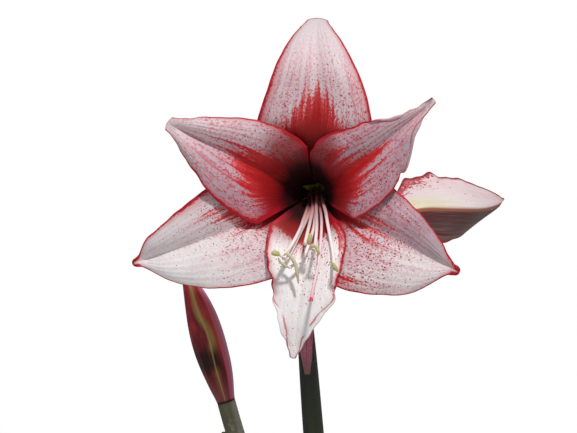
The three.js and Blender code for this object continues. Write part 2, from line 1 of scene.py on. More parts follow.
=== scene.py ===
import math
import bpy
import numpy as np
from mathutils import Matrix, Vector


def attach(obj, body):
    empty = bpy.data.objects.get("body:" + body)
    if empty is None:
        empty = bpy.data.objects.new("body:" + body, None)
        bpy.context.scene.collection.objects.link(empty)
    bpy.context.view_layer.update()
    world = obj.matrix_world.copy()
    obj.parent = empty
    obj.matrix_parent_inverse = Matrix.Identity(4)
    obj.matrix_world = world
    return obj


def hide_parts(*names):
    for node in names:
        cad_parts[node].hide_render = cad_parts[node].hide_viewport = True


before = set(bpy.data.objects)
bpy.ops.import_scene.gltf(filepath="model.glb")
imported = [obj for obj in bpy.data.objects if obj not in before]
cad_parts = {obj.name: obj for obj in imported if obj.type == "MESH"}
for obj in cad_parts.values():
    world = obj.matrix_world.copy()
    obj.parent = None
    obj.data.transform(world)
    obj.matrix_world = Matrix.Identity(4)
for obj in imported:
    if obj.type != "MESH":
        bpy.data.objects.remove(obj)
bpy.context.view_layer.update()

# A potted amaryllis in flower, seen from the -Y side. Shapes are worked out in millimetres and
# turned into metres when a mesh is made. The sizes follow the CAD model's own.
MM = 0.001
GAP = 0.3
scene = bpy.context.scene


def smooth(value, start, end):
    """Rises from 0 at start to 1 at end. It falls along the value where end is the lower one."""
    t = np.clip((np.asarray(value, float) - start) / (end - start), 0, 1)
    return t * t * (3 - 2 * t)


def hump(value, middle, width):
    return np.exp(-(((value - middle) / width) ** 2))


def station(values, t):
    """A smooth curve through evenly spaced stations, t from 0 to 1."""
    values = np.asarray(values, float)
    last = len(values) - 1
    place = np.asarray(t, float) * last
    i = np.clip(np.floor(place).astype(int), 0, last - 1)
    w = place - i
    here = values[i]
    following = values[i + 1]
    slope_in = (following - values[np.maximum(i - 1, 0)]) / 2
    slope_out = (values[np.minimum(i + 2, last)] - here) / 2
    rise = following - here
    bend = 3 * rise - 2 * slope_in - slope_out
    return here + w * slope_in + w * w * bend + w**3 * (slope_in + slope_out - 2 * rise)


def unit(vectors):
    vectors = np.asarray(vectors, float)
    return vectors / np.linalg.norm(vectors, axis=-1, keepdims=True)


def rumple(points, size, seed, octaves=3):
    """Gentle lumps, about -1 to 1: waves in random directions, each octave half the size."""
    random = np.random.default_rng(seed)
    total = np.zeros(points.shape[:-1])
    for octave in range(octaves):
        for _ in range(5):
            way = unit(random.normal(size=3)) * 2 * np.pi * 2**octave / size
            total += np.sin(points @ way + random.uniform(0, 6.28)) * 0.5**octave
    return total / 4


class Path:
    """A centripetal Catmull-Rom curve through its places, read by share of its length."""

    def __init__(self, places):
        places = np.asarray(places, float)
        ends = [2 * places[0] - places[1]], [2 * places[-1] - places[-2]]
        knots = np.concatenate([ends[0], places, ends[1]])
        gaps = np.sqrt(np.linalg.norm(np.diff(knots, axis=0), axis=1))
        w = np.linspace(0, 1, 400, endpoint=False)[:, None]
        pieces = []
        for i in range(len(places) - 1):
            a, b, c, d = knots[i : i + 4]
            g0, g1, g2 = gaps[i : i + 3]
            leave = ((b - a) / g0 - (c - a) / (g0 + g1) + (c - b) / g1) * g1
            arrive = ((c - b) / g1 - (d - b) / (g1 + g2) + (d - c) / g2) * g1
            rise = c - b
            pieces.append(b + leave * w + (3 * rise - 2 * leave - arrive) * w**2
                          + (leave + arrive - 2 * rise) * w**3)
        self.line = np.concatenate([*pieces, places[-1:]])
        steps = np.linalg.norm(np.diff(self.line, axis=0), axis=1)
        self.run = np.concatenate([[0], np.cumsum(steps)])
        self.length = self.run[-1]
        self.ways = unit(np.gradient(self.line, axis=0))

    def read(self, table, share):
        place = np.asarray(share, float) * self.length
        return np.stack([np.interp(place, self.run, table[:, k]) for k in range(3)], axis=-1)

    def at(self, share):
        return self.read(self.line, share)

    def along(self, share):
        return unit(self.read(self.ways, share))


class Form:
    """Points in millimetres, faces, and marks: values at the points that a finish reads."""

    def __init__(self, points, faces, marks):
        self.points = np.asarray(points, float).reshape(-1, 3)
        self.faces = faces
        self.marks = {name: np.broadcast_to(value, len(self.points)).astype(float)
                      for name, value in marks.items()}

    def placed(self, origin, axes):
        """The same form with its x, y and z axes laid along three directions."""
        self.points = np.asarray(origin, float) + self.points @ np.asarray(axes, float)
        return self


def joined(forms):
    """Several closed forms as one. Marks that only some of them have are 0 on the others."""
    faces = []
    count = 0
    for form in forms:
        faces += [[count + corner for corner in face] for face in form.faces]
        count += len(form.points)
    names = sorted({name for form in forms for name in form.marks})
    marks = {name: np.concatenate([form.marks.get(name, np.zeros(len(form.points)))
                                   for form in forms]) for name in names}
    return Form(np.concatenate([form.points for form in forms]), faces, marks)


def loft(rings, start, end, marks):
    """Rings of points, one above the other, closed by a point in each end."""
    count, sides = rings.shape[:2]
    at = 1 + np.arange(count * sides).reshape(count, sides)
    beside = np.roll(at, -1, axis=1)
    quads = np.stack([at[:-1], beside[:-1], beside[1:], at[1:]], axis=-1).reshape(-1, 4)
    last = count * sides + 1
    faces = quads.tolist()
    faces += [[0, b, a] for a, b in zip(at[0].tolist(), beside[0].tolist())]
    faces += [[a, b, last] for a, b in zip(at[-1].tolist(), beside[-1].tolist())]
    points = np.concatenate([[start], rings.reshape(-1, 3), [end]])
    whole = {}
    for name, grid in marks.items():
        grid = np.broadcast_to(grid, (count, sides)).astype(float)
        whole[name] = np.concatenate([[grid[0].mean()], grid.ravel(), [grid[-1].mean()]])
    return Form(points, faces, whole)


def tube(places, steps, sides, radius_at, side=(1, 0, 0)):
    """A stalk along a curve. Its marks are along, and front and beside for the way it faces."""
    path = places if isinstance(places, Path) else Path(places)
    t = np.linspace(0, 1, steps + 1)[:, None]
    centres = path.at(t[:, 0])
    along = path.along(t[:, 0])
    side = np.asarray(side, float)
    across = unit(side - along * (along @ side)[:, None])
    third = np.cross(along, across)
    turn = np.arange(sides) / sides * 2 * np.pi
    radius = np.broadcast_to(radius_at(t, turn[None, :]), (steps + 1, sides))[..., None]
    outward = np.cos(turn)[None, :, None] * across[:, None] + np.sin(turn)[None, :, None] * third[:, None]
    rings = centres[:, None] + radius * outward
    marks = {"along": t, "front": np.cos(turn)[None, :], "beside": np.sin(turn)[None, :]}
    return loft(rings, centres[0], centres[-1], marks)


def turned(profile, sides, radius_at, height_at, marks_at):
    """A body of revolution about Z whose radius and height may change a little round it."""
    profile = np.asarray(profile, float)
    turn = (np.arange(sides) / sides * 2 * np.pi)[None, :]
    r, z = profile[1:-1, 0:1], profile[1:-1, 1:2]
    radius = radius_at(r, z, turn)
    height = np.broadcast_to(height_at(r, z, turn), radius.shape)
    rings = np.stack([radius * np.cos(turn), radius * np.sin(turn), height], axis=-1)
    return loft(rings, (0, 0, profile[0, 1]), (0, 0, profile[-1, 1]), marks_at(radius, height, turn))


def closer(profile, spacing):
    """The same outline with points at most so far apart."""
    out = [profile[0]]
    for a, b in zip(profile, profile[1:]):
        pieces = max(1, math.ceil(math.dist(a, b) / spacing))
        out += [tuple(np.array(a) + (np.array(b) - a) * k / pieces) for k in range(1, pieces + 1)]
    return out


def blade(surface, thickness_at, along, across, marks_at):
    """A thin sheet: the same grid on its back and its front, closed round its edge."""
    u, t = np.meshgrid(np.linspace(0, 1, along + 1), np.linspace(-1, 1, across + 1), indexing="ij")
    v = 0.6 * t + 0.4 * np.sin(t * np.pi / 2)
    step = 0.002
    along_it = surface(np.minimum(u + step, 1), v) - surface(np.maximum(u - step, 0), v)
    across_it = surface(u, np.minimum(v + step, 1)) - surface(u, np.maximum(v - step, -1))
    half = unit(np.cross(along_it, across_it)) * thickness_at(u, v)[..., None] / 2
    middle = surface(u, v)
    at = np.arange(u.size).reshape(u.shape)
    quads = np.stack([at[:-1, :-1], at[1:, :-1], at[1:, 1:], at[:-1, 1:]], axis=-1).reshape(-1, 4)
    edge = np.concatenate([at[:-1, 0], at[-1, :-1], at[:0:-1, -1], at[0, :0:-1]])
    following = np.roll(edge, -1)
    strip = np.stack([following, edge, edge + u.size, following + u.size], axis=-1)
    faces = np.concatenate([quads, quads[:, ::-1] + u.size, strip]).tolist()
    points = np.concatenate([(middle + half).reshape(-1, 3), (middle - half).reshape(-1, 3)])
    marks = {name: np.tile(np.broadcast_to(grid, u.shape).ravel(), 2)
             for name, grid in marks_at(u, v).items()}
    marks["back"] = np.repeat([1.0, 0.0], u.size)
    return Form(points, faces, marks)


def ribbon(places, side, widths, hollow, ripple, ripples, twist):
    """The middle surface of a strap leaf or bract along a curve."""
    path = Path(places)
    side = np.asarray(side, float)

    def surface(u, v):
        along = path.along(u)
        across = unit(side - along * (along @ side)[..., None])
        turn = np.radians(twist * u)[..., None]
        across = across * np.cos(turn) + np.cross(along, across) * np.sin(turn)
        upward = np.cross(across, along)
        half = station(widths, u)
        wave = ripple * np.abs(v) ** 3 * np.sin(2 * np.pi * (ripples * u + 0.2 * v))
        lift = hollow * v * v * half + wave
        return path.at(u) + across * (half * v)[..., None] + upward * lift[..., None]

    return surface


def rgb(red, green, blue):
    """A colour as it is seen, 0 to 255, in the linear values that a shader takes."""
    def linear(value):
        value /= 255
        return value / 12.92 if value <= 0.04045 else ((value + 0.055) / 1.055) ** 2.4
    return (linear(red), linear(green), linear(blue), 1.0)


class Wire:
    """A value in a finish. Arithmetic on it adds Math nodes."""

    def __init__(self, finish, socket):
        self.finish = finish
        self.socket = socket

    def __add__(self, other):
        return self.finish.math("ADD", self, other)

    def __sub__(self, other):
        return self.finish.math("SUBTRACT", self, other)

    def __rsub__(self, other):
        return self.finish.math("SUBTRACT", other, self)

    def __mul__(self, other):
        return self.finish.math("MULTIPLY", self, other)

    def __truediv__(self, other):
        return self.finish.math("DIVIDE", self, other)

    __radd__ = __add__
    __rmul__ = __mul__

    def grows(self, low, high):
        """0 up to low, 1 from high on, smooth between. With low above high it fades instead."""
        if low > high:
            return 1 - self.grows(high, low)
        return self.finish.node("ShaderNodeMapRange", {"interpolation_type": "SMOOTHSTEP"},
                                {"Value": self, "From Min": low, "From Max": high})


class Finish:
    """One procedural material."""

    def __init__(self, name):
        self.material = bpy.data.materials.new(name)
        self.material.use_nodes = True
        self.tree = self.material.node_tree
        self.tree.nodes.clear()

    def node(self, kind, settings, values, output=0):
        node = self.tree.nodes.new(kind)
        for name, value in settings.items():
            setattr(node, name, value)
        for name, value in values.items():
            if isinstance(value, Wire):
                self.tree.links.new(value.socket, node.inputs[name])
            else:
                node.inputs[name].default_value = value
        return Wire(self, node.outputs[output]) if node.outputs else None

    def math(self, operation, a, b=0.0):
        return self.node("ShaderNodeMath", {"operation": operation}, {0: a, 1: b})

    def size_of(self, a):
        return self.math("ABSOLUTE", a)

    def marks(self, *names):
        """Values that the mesh carries at its points, by their names."""
        return [self.node("ShaderNodeAttribute", {"attribute_name": name}, {}, "Fac") for name in names]

    def place(self):
        """Where a point is, in metres."""
        return self.node("ShaderNodeTexCoord", {}, {}, "Object")

    def vector(self, x, y, z):
        return self.node("ShaderNodeCombineXYZ", {}, {"X": x, "Y": y, "Z": z})

    def stretched(self, vector, x, y, z):
        return self.node("ShaderNodeVectorMath", {"operation": "MULTIPLY"}, {0: vector, 1: (x, y, z)})

    def noise(self, vector, scale, detail=3.0, distortion=0.0):
        values = {"Vector": vector, "Scale": scale, "Detail": detail, "Distortion": distortion}
        return self.node("ShaderNodeTexNoise", {}, values, "Fac")

    def noise_over(self, x, y, z, detail=3.0):
        return self.noise(self.vector(x, y, z), 1.0, detail)

    def noise_in_place(self, scale, detail=3.0):
        return self.noise(self.place(), scale, detail)

    def cells(self, vector, scale):
        """Distance from the nearest of scattered points, and a random share for each point."""
        values = {"Vector": vector, "Scale": scale}
        distance = self.node("ShaderNodeTexVoronoi", {}, values, "Distance")
        own = self.node("ShaderNodeTexVoronoi", {}, values, "Color")
        return distance, self.node("ShaderNodeSeparateColor", {}, {"Color": own}, "Red")

    def blend(self, share, a, b):
        return self.node("ShaderNodeMix", {"data_type": "RGBA"}, {0: share, 6: a, 7: b}, 2)

    def layered(self, ground, *layers):
        """Colours laid one over the other, each with the share that it covers."""
        for share, colour in layers:
            ground = self.blend(share, ground, colour)
        return ground

    def done(self, colour, roughness, height=None, depth=0.1, **constants):
        """Ends the finish. depth is the bump's in millimetres."""
        values = {"Base Color": colour, "Roughness": roughness}
        values.update({name.replace("_", " "): value for name, value in constants.items()})
        if height is not None:
            bump = {"Height": height, "Strength": 1.0, "Distance": depth * MM}
            values["Normal"] = self.node("ShaderNodeBump", {}, bump)
        shader = self.node("ShaderNodeBsdfPrincipled", {}, values)
        self.node("ShaderNodeOutputMaterial", {}, {"Surface": shader})
        return self


# A flower's tepals. Marks on them: along runs from 0 to 1 and across from -1 to 1 over the tepal,
# reach and aside are the same in millimetres, fan is how far inside the red fan a point is, rim
# its distance from the margin in widths of the crimson edge, specks how many freckles there are,
# wash how pink the white is, the painted shade mark how much painted shade greys the white, and
# the throat shade mark is 1 on the throat's upper side, where the painted shade of the throat reaches further
# out.
# The throat's own dark red, and near black, with painted shade of the throat laid over both.
DEEP_RED = rgb(134, 6, 12)
THROAT_BLACK = rgb(40, 4, 6)


def petal_finish():
    finish = Finish("petal")
    along, across, aside, reach, fan, rim = finish.marks("along", "across", "aside", "reach", "fan", "rim")
    specks, wash, dull, dome, seed, back = finish.marks("specks", "wash", "dull", "dome", "seed", "back")
    streaks = finish.noise_over(across * 13, along * 2.2, seed)
    threads = finish.noise_over(across * 40, along * 5, seed, detail=2.0)
    patches = finish.noise_over(aside / 9, reach / 16, seed, detail=2.0)
    crumbs = finish.noise_over(aside, reach / 1.5, seed, detail=2.0)
    grains = finish.noise_over(aside / 0.5, reach / 0.6, seed, detail=2.0)
    # The white, greyed by painted shade where shade falls on the tepal.
    white = finish.layered(
        rgb(250, 248, 246),
        (dull, rgb(142, 128, 138)),
        (threads.grows(0.4, 0.8) * 0.25, rgb(226, 214, 218)),
        (patches.grows(0.45, 0.75) * 0.4, rgb(228, 216, 221)),
        (grains.grows(0.4, 0.7) * 0.25, rgb(222, 214, 217)),
        (wash * 0.55 * patches.grows(0.2, 0.7), rgb(206, 160, 172)),
        (wash * 0.3, rgb(206, 160, 172)),
    )
    dashes = (streaks * 0.45 + crumbs * 0.55).grows(0.47, 0.6)
    pink = wash * dashes * (0.5 + 0.5 * threads.grows(0.3, 0.6))
    edge = fan + (streaks - 0.5) * 1.1 + (threads - 0.5) * 0.45 + (crumbs - 0.5) * 0.45
    red = edge.grows(-0.14, 0.12)
    solid = edge.grows(0.04, 0.5)
    near = edge.grows(-0.75, 0.0)
    dot, own = finish.cells(finish.vector(aside / 1.5, reach / 1.9, seed), 1.0)
    freckle = (0.24 + own * 0.16 - dot).grows(0, 0.12) * (specks * 1.05 - own).grows(0, 0.12)
    speck, other = finish.cells(finish.vector(aside / 0.95, reach / 1.25, seed + 9), 1.0)
    share = specks * 0.55 + near * 0.4
    fleck = (0.3 + other * 0.14 - speck).grows(0, 0.12) * (share - other).grows(0, 0.12)
    rim_edge = rim + (streaks - 0.5) * 1.2 + (crumbs - 0.5) * 1.6
    margin = rim_edge.grows(1.3, 0.7)
    glow = rim_edge.grows(3.4, 0.9) * 0.6
    inward = reach + (streaks - 0.5) * 14 + (crumbs - 0.5) * 5
    star = (1 - finish.size_of(across) * 1.6 - reach / 17).grows(0.0, 0.3)
    faint = 1 - back * 0.62
    colour = finish.layered(
        white,
        (pink * 0.8 * faint, rgb(190, 66, 86)),
        (glow * 0.7 * faint, rgb(204, 48, 62)),
        (fleck * 0.9 * faint, rgb(176, 26, 42)),
        (freckle * faint, rgb(150, 8, 24)),
        (red * 0.92 * faint, rgb(198, 20, 26)),
        (solid * faint, rgb(168, 5, 9)),
        # Deep red and near black round the throat: its own dark red with painted shade of the throat,
        # reaching further out on the throat's upper side.
        ((inward - dome * 14).grows(60, 42) * (1 - back) * 0.85, DEEP_RED),
        (margin * (1 - back * 0.3), rgb(172, 10, 32)),
        ((inward - dome * 7).grows(46, 30) * (1 - back * 0.8), THROAT_BLACK),
        (star * (1 - back), rgb(206, 196, 62)),
        (back * reach.grows(60, 5) * finish.size_of(across).grows(0.5, 0.0), rgb(140, 150, 84)),
    )
    height = threads * 0.5 + streaks * 0.4 + grains * 0.3
    return finish.done(colour, 0.5 + 0.14 * crumbs, height, 0.16, Specular_IOR_Level=0.3,
                       Subsurface_Weight=0.12, Subsurface_Scale=0.002)


# The funnel that the tepals lie on: radius and height, from the throat outwards.
FUNNEL = [(4.5, 0), (6.5, 12), (10.5, 24), (18, 37), (30, 48), (46, 55), (64, 58), (82, 57), (100, 53),
          (118, 47)]
funnel_t = np.linspace(0, 1, 4001)
funnel_line = np.stack([station([p[k] for p in FUNNEL], funnel_t) for k in (0, 1)], axis=-1)
funnel_run = np.concatenate([[0], np.cumsum(np.linalg.norm(np.diff(funnel_line, axis=0), axis=1))])
funnel_way = unit(np.gradient(funnel_line, axis=0))

THROAT = np.array([3.0, -22.0, 520.0])
BLOOM_YAW = math.radians(11)
BLOOM_AXES = [
    (math.cos(BLOOM_YAW), -math.sin(BLOOM_YAW), 0),
    (0, 0, 1),
    (-math.sin(BLOOM_YAW), -math.cos(BLOOM_YAW), 0),
]
WHORL_STEP_AT_THROAT = 2.2
WHORL_STEP_FURTHER_OUT = 4.8

# Each pair is for the anticlockwise and the clockwise side. Lists run from foot to tip. Lobes and
# nicks of the margin are given by their place along it, their length and their height, and single
# red streaks by their place across, their two ends along the petal and their half width.
# The grey lists are painted shade for each side of a tepal: high where shade falls on it, low on the patches
# where the light falls.
TEPALS = {
    "tepal_top": dict(
        direction=[88, 80, 88], reach=137.5, outer=1, bend=-26, bend_from=0.68, wave=0.8, crease=1.0,
        bulge=1.6, round_tip=1.2, crinkle=0.12, frill=0.1,
        widths=([4.5, 10.5, 20, 34, 27.4, 16.8, 6.2], [4.5, 10.5, 20, 37, 30.6, 17.8, 6.7]),
        fan_centre=[0, 0, 0, 0.02, 0, 0, 0], fan=[1.6, 1.3, 0.8, 0.5, -0.06, -0.8, -1],
        dull=([0.3, 0.3, 0.3, 0.35, 0.4, 0.42, 0.45], [0.3, 0.3, 0.3, 0.35, 0.4, 0.42, 0.45]),
        wash=[1, 1, 1, 0.95, 0.75, 0.35, 0.15],
        rims=([2, 2.4, 3, 3, 2.1, 1.4, 0.8], [2, 2.4, 3, 2.8, 2.2, 1.5, 0.8]),
        specks=([0.5, 0.7, 0.8, 0.62, 0.35, 0.12, 0], [0.5, 0.8, 1, 0.9, 0.6, 0.2, 0])),
    "tepal_upper_left": dict(
        direction=[150, 149.5, 151.5], reach=111, outer=0, bend=6, wave=0.6, crease=3.0,
        bulge=3.4, round_tip=1.0, crinkle=0.3, frill=0.3, wrap=(1.1, 1.12),
        widths=([4.5, 10.5, 22, 32.5, 28, 15, 3.2], [4.5, 10.5, 22, 31, 27, 15.2, 4.6]),
        lobes=([(0.77, 0.03, -0.9)], []),
        fan_centre=[0, 0, -0.1, -0.08, 0.12, 0.12, 0], fan=[1.6, 1.5, 1.1, 0.48, 0.04, -0.35, -1],
        dull=([0.8, 0.8, 0.95, 1, 0.9, 0.55, 0.3], [0.8, 0.8, 0.9, 0.85, 0.6, 0.35, 0.3]),
        wash=[1, 1, 1, 1, 1, 0.85, 0.4],
        rims=([1, 2, 3.2, 3.2, 2.1, 1.0, 0.35], [0.4, 0.6, 1.6, 2.0, 1.2, 0.7, 0.35]),
        specks=([0.5, 0.9, 1, 0.8, 0.5, 0.15, 0], [0.5, 1, 1, 1, 0.6, 0.15, 0])),
    "tepal_upper_right": dict(
        direction=[30, 31, 35.5], reach=119, outer=0, bend=3, wave=1.2, crease=1.8,
        bulge=2.2, round_tip=0.6, crinkle=0.4, frill=0.4, wrap=(0.9, 0.95), strips=(4.6, 5),
        widths=([4.5, 10.5, 18, 23.6, 15.8, 6.2, 1.8], [4.5, 10.5, 22, 30, 24.5, 8.4, 1.2]),
        lobes=([(0.7, 0.05, 1.4)], [(0.77, 0.05, 3.8), (0.72, 0.012, -1.6), (0.66, 0.02, 1.0)]),
        fan_centre=[0, 0, 0.4, 0.1, 0.03, 0, 0], fan=[1.6, 1.4, 0.85, 0.46, 0.06, -0.4, -1],
        streaks=[(-0.5, 0.36, 0.6, 0.14)],
        dull=([0.8, 0.8, 0.9, 1, 0.9, 0.7, 0.4], [0.8, 0.9, 1, 1, 1, 0.9, 0.4]),
        wash=[1, 1, 1, 1, 1, 0.8, 0.5],
        rims=([0.2, 0.3, 0.6, 1.2, 1.0, 0.6, 0.35], [0.8, 1.4, 1.5, 1.3, 1.1, 0.7, 0.35]),
        specks=([0.5, 0.9, 1, 0.9, 0.6, 0.2, 0], [0.6, 1, 1, 1, 0.65, 0.2, 0])),
    "tepal_lower_left": dict(
        direction=[208, 205, 202], reach=136, outer=1, wave=0.6, crease=3.4,
        bulge=2.2, round_tip=1.0, knob=1.5, crinkle=0.2, frill=0.2,
        widths=([4.5, 10.5, 26, 38, 33, 20.5, 1.3], [4.5, 10.5, 21, 28, 23, 14, 1.3]),
        lobes=([(0.9, 0.06, 0.6)], [(0.91, 0.045, 2.4)]),
        fan_centre=[0, 0, 0.1, 0.26, 0.42, 0.5, 0.5], fan=[1.6, 1.3, 0.6, 0.16, -0.12, -0.4, -1],
        streaks=[(0.48, 0.45, 0.72, 0.03)],
        dull=([0.3, 0.3, 0.3, 0.2, 0.1, 0, 0], [0.4, 0.5, 0.6, 0.5, 0.35, 0.3, 0.2]),
        wash=[1, 1, 0.9, 0.6, 0.35, 0.2, 0.15],
        rims=([1, 1.4, 1.6, 1.1, 0.9, 0.7, 1.7], [1, 2, 3.2, 3.4, 2.4, 1.1, 1.7]),
        specks=([0.5, 0.9, 0.95, 0.65, 0.3, 0.08, 0], [0.5, 0.9, 0.95, 0.65, 0.25, 0.06, 0])),
    "tepal_lower_right": dict(
        direction=[-31, -24, -25], reach=126, outer=1, wave=0.8, crease=1.8,
        bulge=2.4, round_tip=1.0, knob=1.8, crinkle=0.25, frill=0.3,
        widths=([4.5, 10.5, 21, 28, 24, 14, 1.5], [4.5, 10.5, 24, 40, 40, 25, 1.5]),
        lobes=([], [(0.95, 0.03, -1.2), (0.85, 0.07, 2.0)]),
        fan_centre=[0, 0, 0, -0.02, -0.02, 0, 0], fan=[1.6, 1.3, 0.5, 0.12, -0.1, -0.5, -1],
        streaks=[(0.84, 0.56, 0.73, 0.05)],
        dull=([0.5, 0.7, 0.9, 1, 1, 0.9, 0.5], [0.5, 0.6, 0.7, 0.5, 0.15, 0.2, 0.3]),
        wash=[1, 1, 1, 0.85, 0.6, 0.35, 0.3],
        rims=([1, 1.4, 1.2, 1.1, 0.9, 0.7, 2.2], [1, 1.6, 1.6, 1.5, 1.2, 0.8, 2.2]),
        specks=([0.6, 1, 1, 1, 0.75, 0.2, 0], [0.6, 1, 1, 1, 0.95, 0.35, 0])),
    "tepal_bottom": dict(
        direction=[270, 271.5, 267.5], reach=118, outer=0, wave=1.2, crease=1.5,
        bulge=1.8, round_tip=1.2, crinkle=0.5, frill=0.5, strips=(6.4, 6),
        widths=([4.5, 10.5, 20, 26, 21.5, 13, 1.6], [4.5, 10.5, 20, 23, 17, 9.2, 1.6]),
        lobes=([(0.745, 0.035, 2.6), (0.87, 0.05, -1.6)], [(0.64, 0.02, -1.4), (0.74, 0.03, 0.8)]),
        fan_centre=[0, 0, 0, 0, 0, 0, 0], fan=[1.6, 1.6, 1.9, -0.45, -0.6, -0.8, -1],
        streaks=[(0.08, 0.42, 0.6, 0.03), (-0.85, 0.3, 0.62, 0.12)],
        dull=([0] * 7, [0] * 7), wash=[1, 1, 0.5, 0.2, 0.1, 0.1, 0.1],
        rims=([0.6, 1.2, 2.0, 1.6, 1.3, 1.1, 0.5], [0.6, 1.8, 2.6, 1.8, 1.4, 1.1, 0.5]),
        specks=([0.6, 1, 1, 0.9, 0.45, 0.1, 0], [0.4, 0.8, 0.7, 0.4, 0.2, 0.06, 0])),
}
# What a tepal has where its own entry says nothing else.
USUAL_TEPAL = dict(bend=0, bend_from=0.5, knob=0, wrap=(0.9, 0.9), strips=(0, 0), lobes=([], []), streaks=[])
TEPALS = {name: {**USUAL_TEPAL, **own} for name, own in TEPALS.items()}
TEPAL_FRONT_TO_BACK = 0.62


def by_side(pair, u, v):
    """Reads the list for the side of the midrib that a point is on."""
    return np.where(v < 0, station(pair[0], u), station(pair[1], u))


def tepal_half_width(tepal, distance, u, v):
    """From the midrib to the margin, and how much of that is a strip that rolls over at the margin."""
    wall = np.interp(distance, funnel_run, funnel_line[:, 0])
    side = np.where(v < 0, 0.0, 0.37)
    wobble = (np.sin(2 * np.pi * (6.3 * u + side)) * np.sin(2 * np.pi * (2.3 * u + 2 * side))
              + 0.6 * np.sin(2 * np.pi * (14.7 * u + 3 * side + 0.2)))
    crinkled = tepal["crinkle"] * wobble * smooth(u, 0.3, 0.5) * smooth(u, 1, 0.9)
    half = by_side(tepal["widths"], u, v) + crinkled
    for sign, lobes in zip((-1, 1), tepal["lobes"]):
        for place, length, height in lobes:
            half = half + height * hump(u, place, length) * (np.sign(v + 1e-9) == sign)
    half = np.minimum(half, np.where(v < 0, *tepal["wrap"]) * wall)
    strip = np.where(v < 0, *tepal["strips"]) * smooth(u, 0.66, 0.8) * (1 - 0.5 * smooth(u, 0.9, 1))
    return half, np.minimum(strip, 0.75 * half)


ROLL_RADIUS = 1.05


def tepal_surface(tepal):
    """The middle surface of a tepal, on a funnel that all six share, from the throat."""
    def surface(u, v):
        distance = tepal["reach"] * u - tepal["round_tip"] * v * v * smooth(u, 0.85, 1)
        wall = np.interp(distance, funnel_run, funnel_line[:, 0])
        forward = np.interp(distance, funnel_run, funnel_line[:, 1])
        slope_x = np.interp(distance, funnel_run, funnel_way[:, 0])
        slope_y = np.interp(distance, funnel_run, funnel_way[:, 1])
        half, strip = tepal_half_width(tepal, distance, u, v)
        flat = half - np.minimum(ROLL_RADIUS, 0.6 * strip)
        x = (flat + strip) * np.abs(v)
        turn = np.maximum(x - flat, 0) / ROLL_RADIUS
        over = np.maximum(turn - np.pi, 0)
        turn = np.minimum(turn, np.pi)
        x = np.sign(v) * np.minimum(x, flat)
        aside = x + np.sign(v) * ROLL_RADIUS * (np.sin(turn) - over)
        angle = np.radians(station(tepal["direction"], u)) - aside / wall
        further = WHORL_STEP_FURTHER_OUT - WHORL_STEP_AT_THROAT
        behind = WHORL_STEP_AT_THROAT + further * smooth(distance, 20, 50)
        phase = np.where(v < 0, 0.1, 0.55)
        bent = np.maximum(0, (u - tepal["bend_from"]) / (1 - tepal["bend_from"]))
        open_part = smooth(u, 0.25, 0.5)
        lift = (
            -tepal["outer"] * behind
            + ROLL_RADIUS * (1 - np.cos(turn))
            + tepal["wave"] * np.abs(v) ** 3 * np.sin(2 * np.pi * (3 * u + phase)) * open_part
            + tepal["frill"] * v**6 * np.sin(2 * np.pi * (11 * u + 2 * phase)) * open_part
            - tepal["crease"] * np.exp(-np.abs(x) / 5) * smooth(u, 0.3, 0.62) * smooth(u, 1, 0.93)
            + tepal["bulge"] * np.sin(np.pi * np.abs(v)) * smooth(u, 0.2, 0.5) * smooth(u, 1, 0.85)
            + tepal["bend"] * bent**2
            + 0.12 * np.cos(2 * np.pi * 7 * v) * open_part * (1 - v * v)
        )
        radius = wall - slope_y * lift
        return np.stack([radius * np.cos(angle), radius * np.sin(angle), forward + slope_x * lift], axis=-1)
    return surface


def tepal_marks(tepal, seed):
    def marks(u, v):
        distance = tepal["reach"] * u
        half, strip = tepal_half_width(tepal, distance, u, v)
        whole = half - np.minimum(ROLL_RADIUS, 0.6 * strip) + strip
        margin = np.minimum(whole * (1 - np.abs(v)), tepal["reach"] * (1 - u) + 0.4)
        wall = np.interp(distance, funnel_run, funnel_line[:, 0])
        angle = np.radians(station(tepal["direction"], u)) - half * v / wall
        clockwise = smooth(v, -0.25, 0.25)
        fan = station(tepal["fan"], u) - np.abs(v - station(tepal["fan_centre"], u))
        for place, low, high, size in tepal["streaks"]:
            ends = smooth(u, low, low + 0.06) * (1 - smooth(u, high - 0.12, high))
            fan = np.maximum(fan, (size + 0.3) * ends - 0.3 - 1.5 * np.abs(v - place))
        return {
            "along": u,
            "across": v,
            "aside": whole * v,
            "reach": distance,
            "fan": fan,
            "wash": station(tepal["wash"], u),
            # Painted shade: how grey each side of the tepal is, and on the throat's upper side how much
            # further the throat's painted shade reaches.
            "dull": station(tepal["dull"][0], u) * (1 - clockwise) + station(tepal["dull"][1], u) * clockwise,
            "dome": smooth(np.sin(angle), 0.6, 0.95),
            "rim": margin / by_side(tepal["rims"], u, v),
            "specks": by_side(tepal["specks"], u, v),
            "seed": seed,
        }
    return marks


def make_tepals(petal):
    for count, (name, tepal) in enumerate(TEPALS.items()):
        def thickness(u, v, knob=tepal["knob"]):
            thin = TEPAL_FRONT_TO_BACK * (1 - 0.5 * v**6)
            return thin + knob * smooth(u, 0.965, 0.985) * smooth(u, 1.01, 0.992)
        form = blade(tepal_surface(tepal), thickness, 150, 84, tepal_marks(tepal, count * 3.7))
        add_piece(name, form.placed(THROAT, BLOOM_AXES), petal, "tepal", name)


def add_piece(name, form, finish, slot, *nodes):
    """Makes the mesh in metres, rides it on the root body and hides the CAD nodes that it stands for."""
    mesh = bpy.data.meshes.new(name)
    mesh.from_pydata((form.points * MM).tolist(), [], form.faces)
    for mark, values in form.marks.items():
        layer = mesh.attributes.new(mark, "FLOAT", "POINT")
        layer.data.foreach_set("value", np.ascontiguousarray(values, np.float32))
    mesh.shade_smooth()
    mesh.materials.append(finish.material)
    piece = bpy.data.objects.new(name, mesh)
    scene.collection.objects.link(piece)
    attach(piece, "root")
    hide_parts(*nodes)


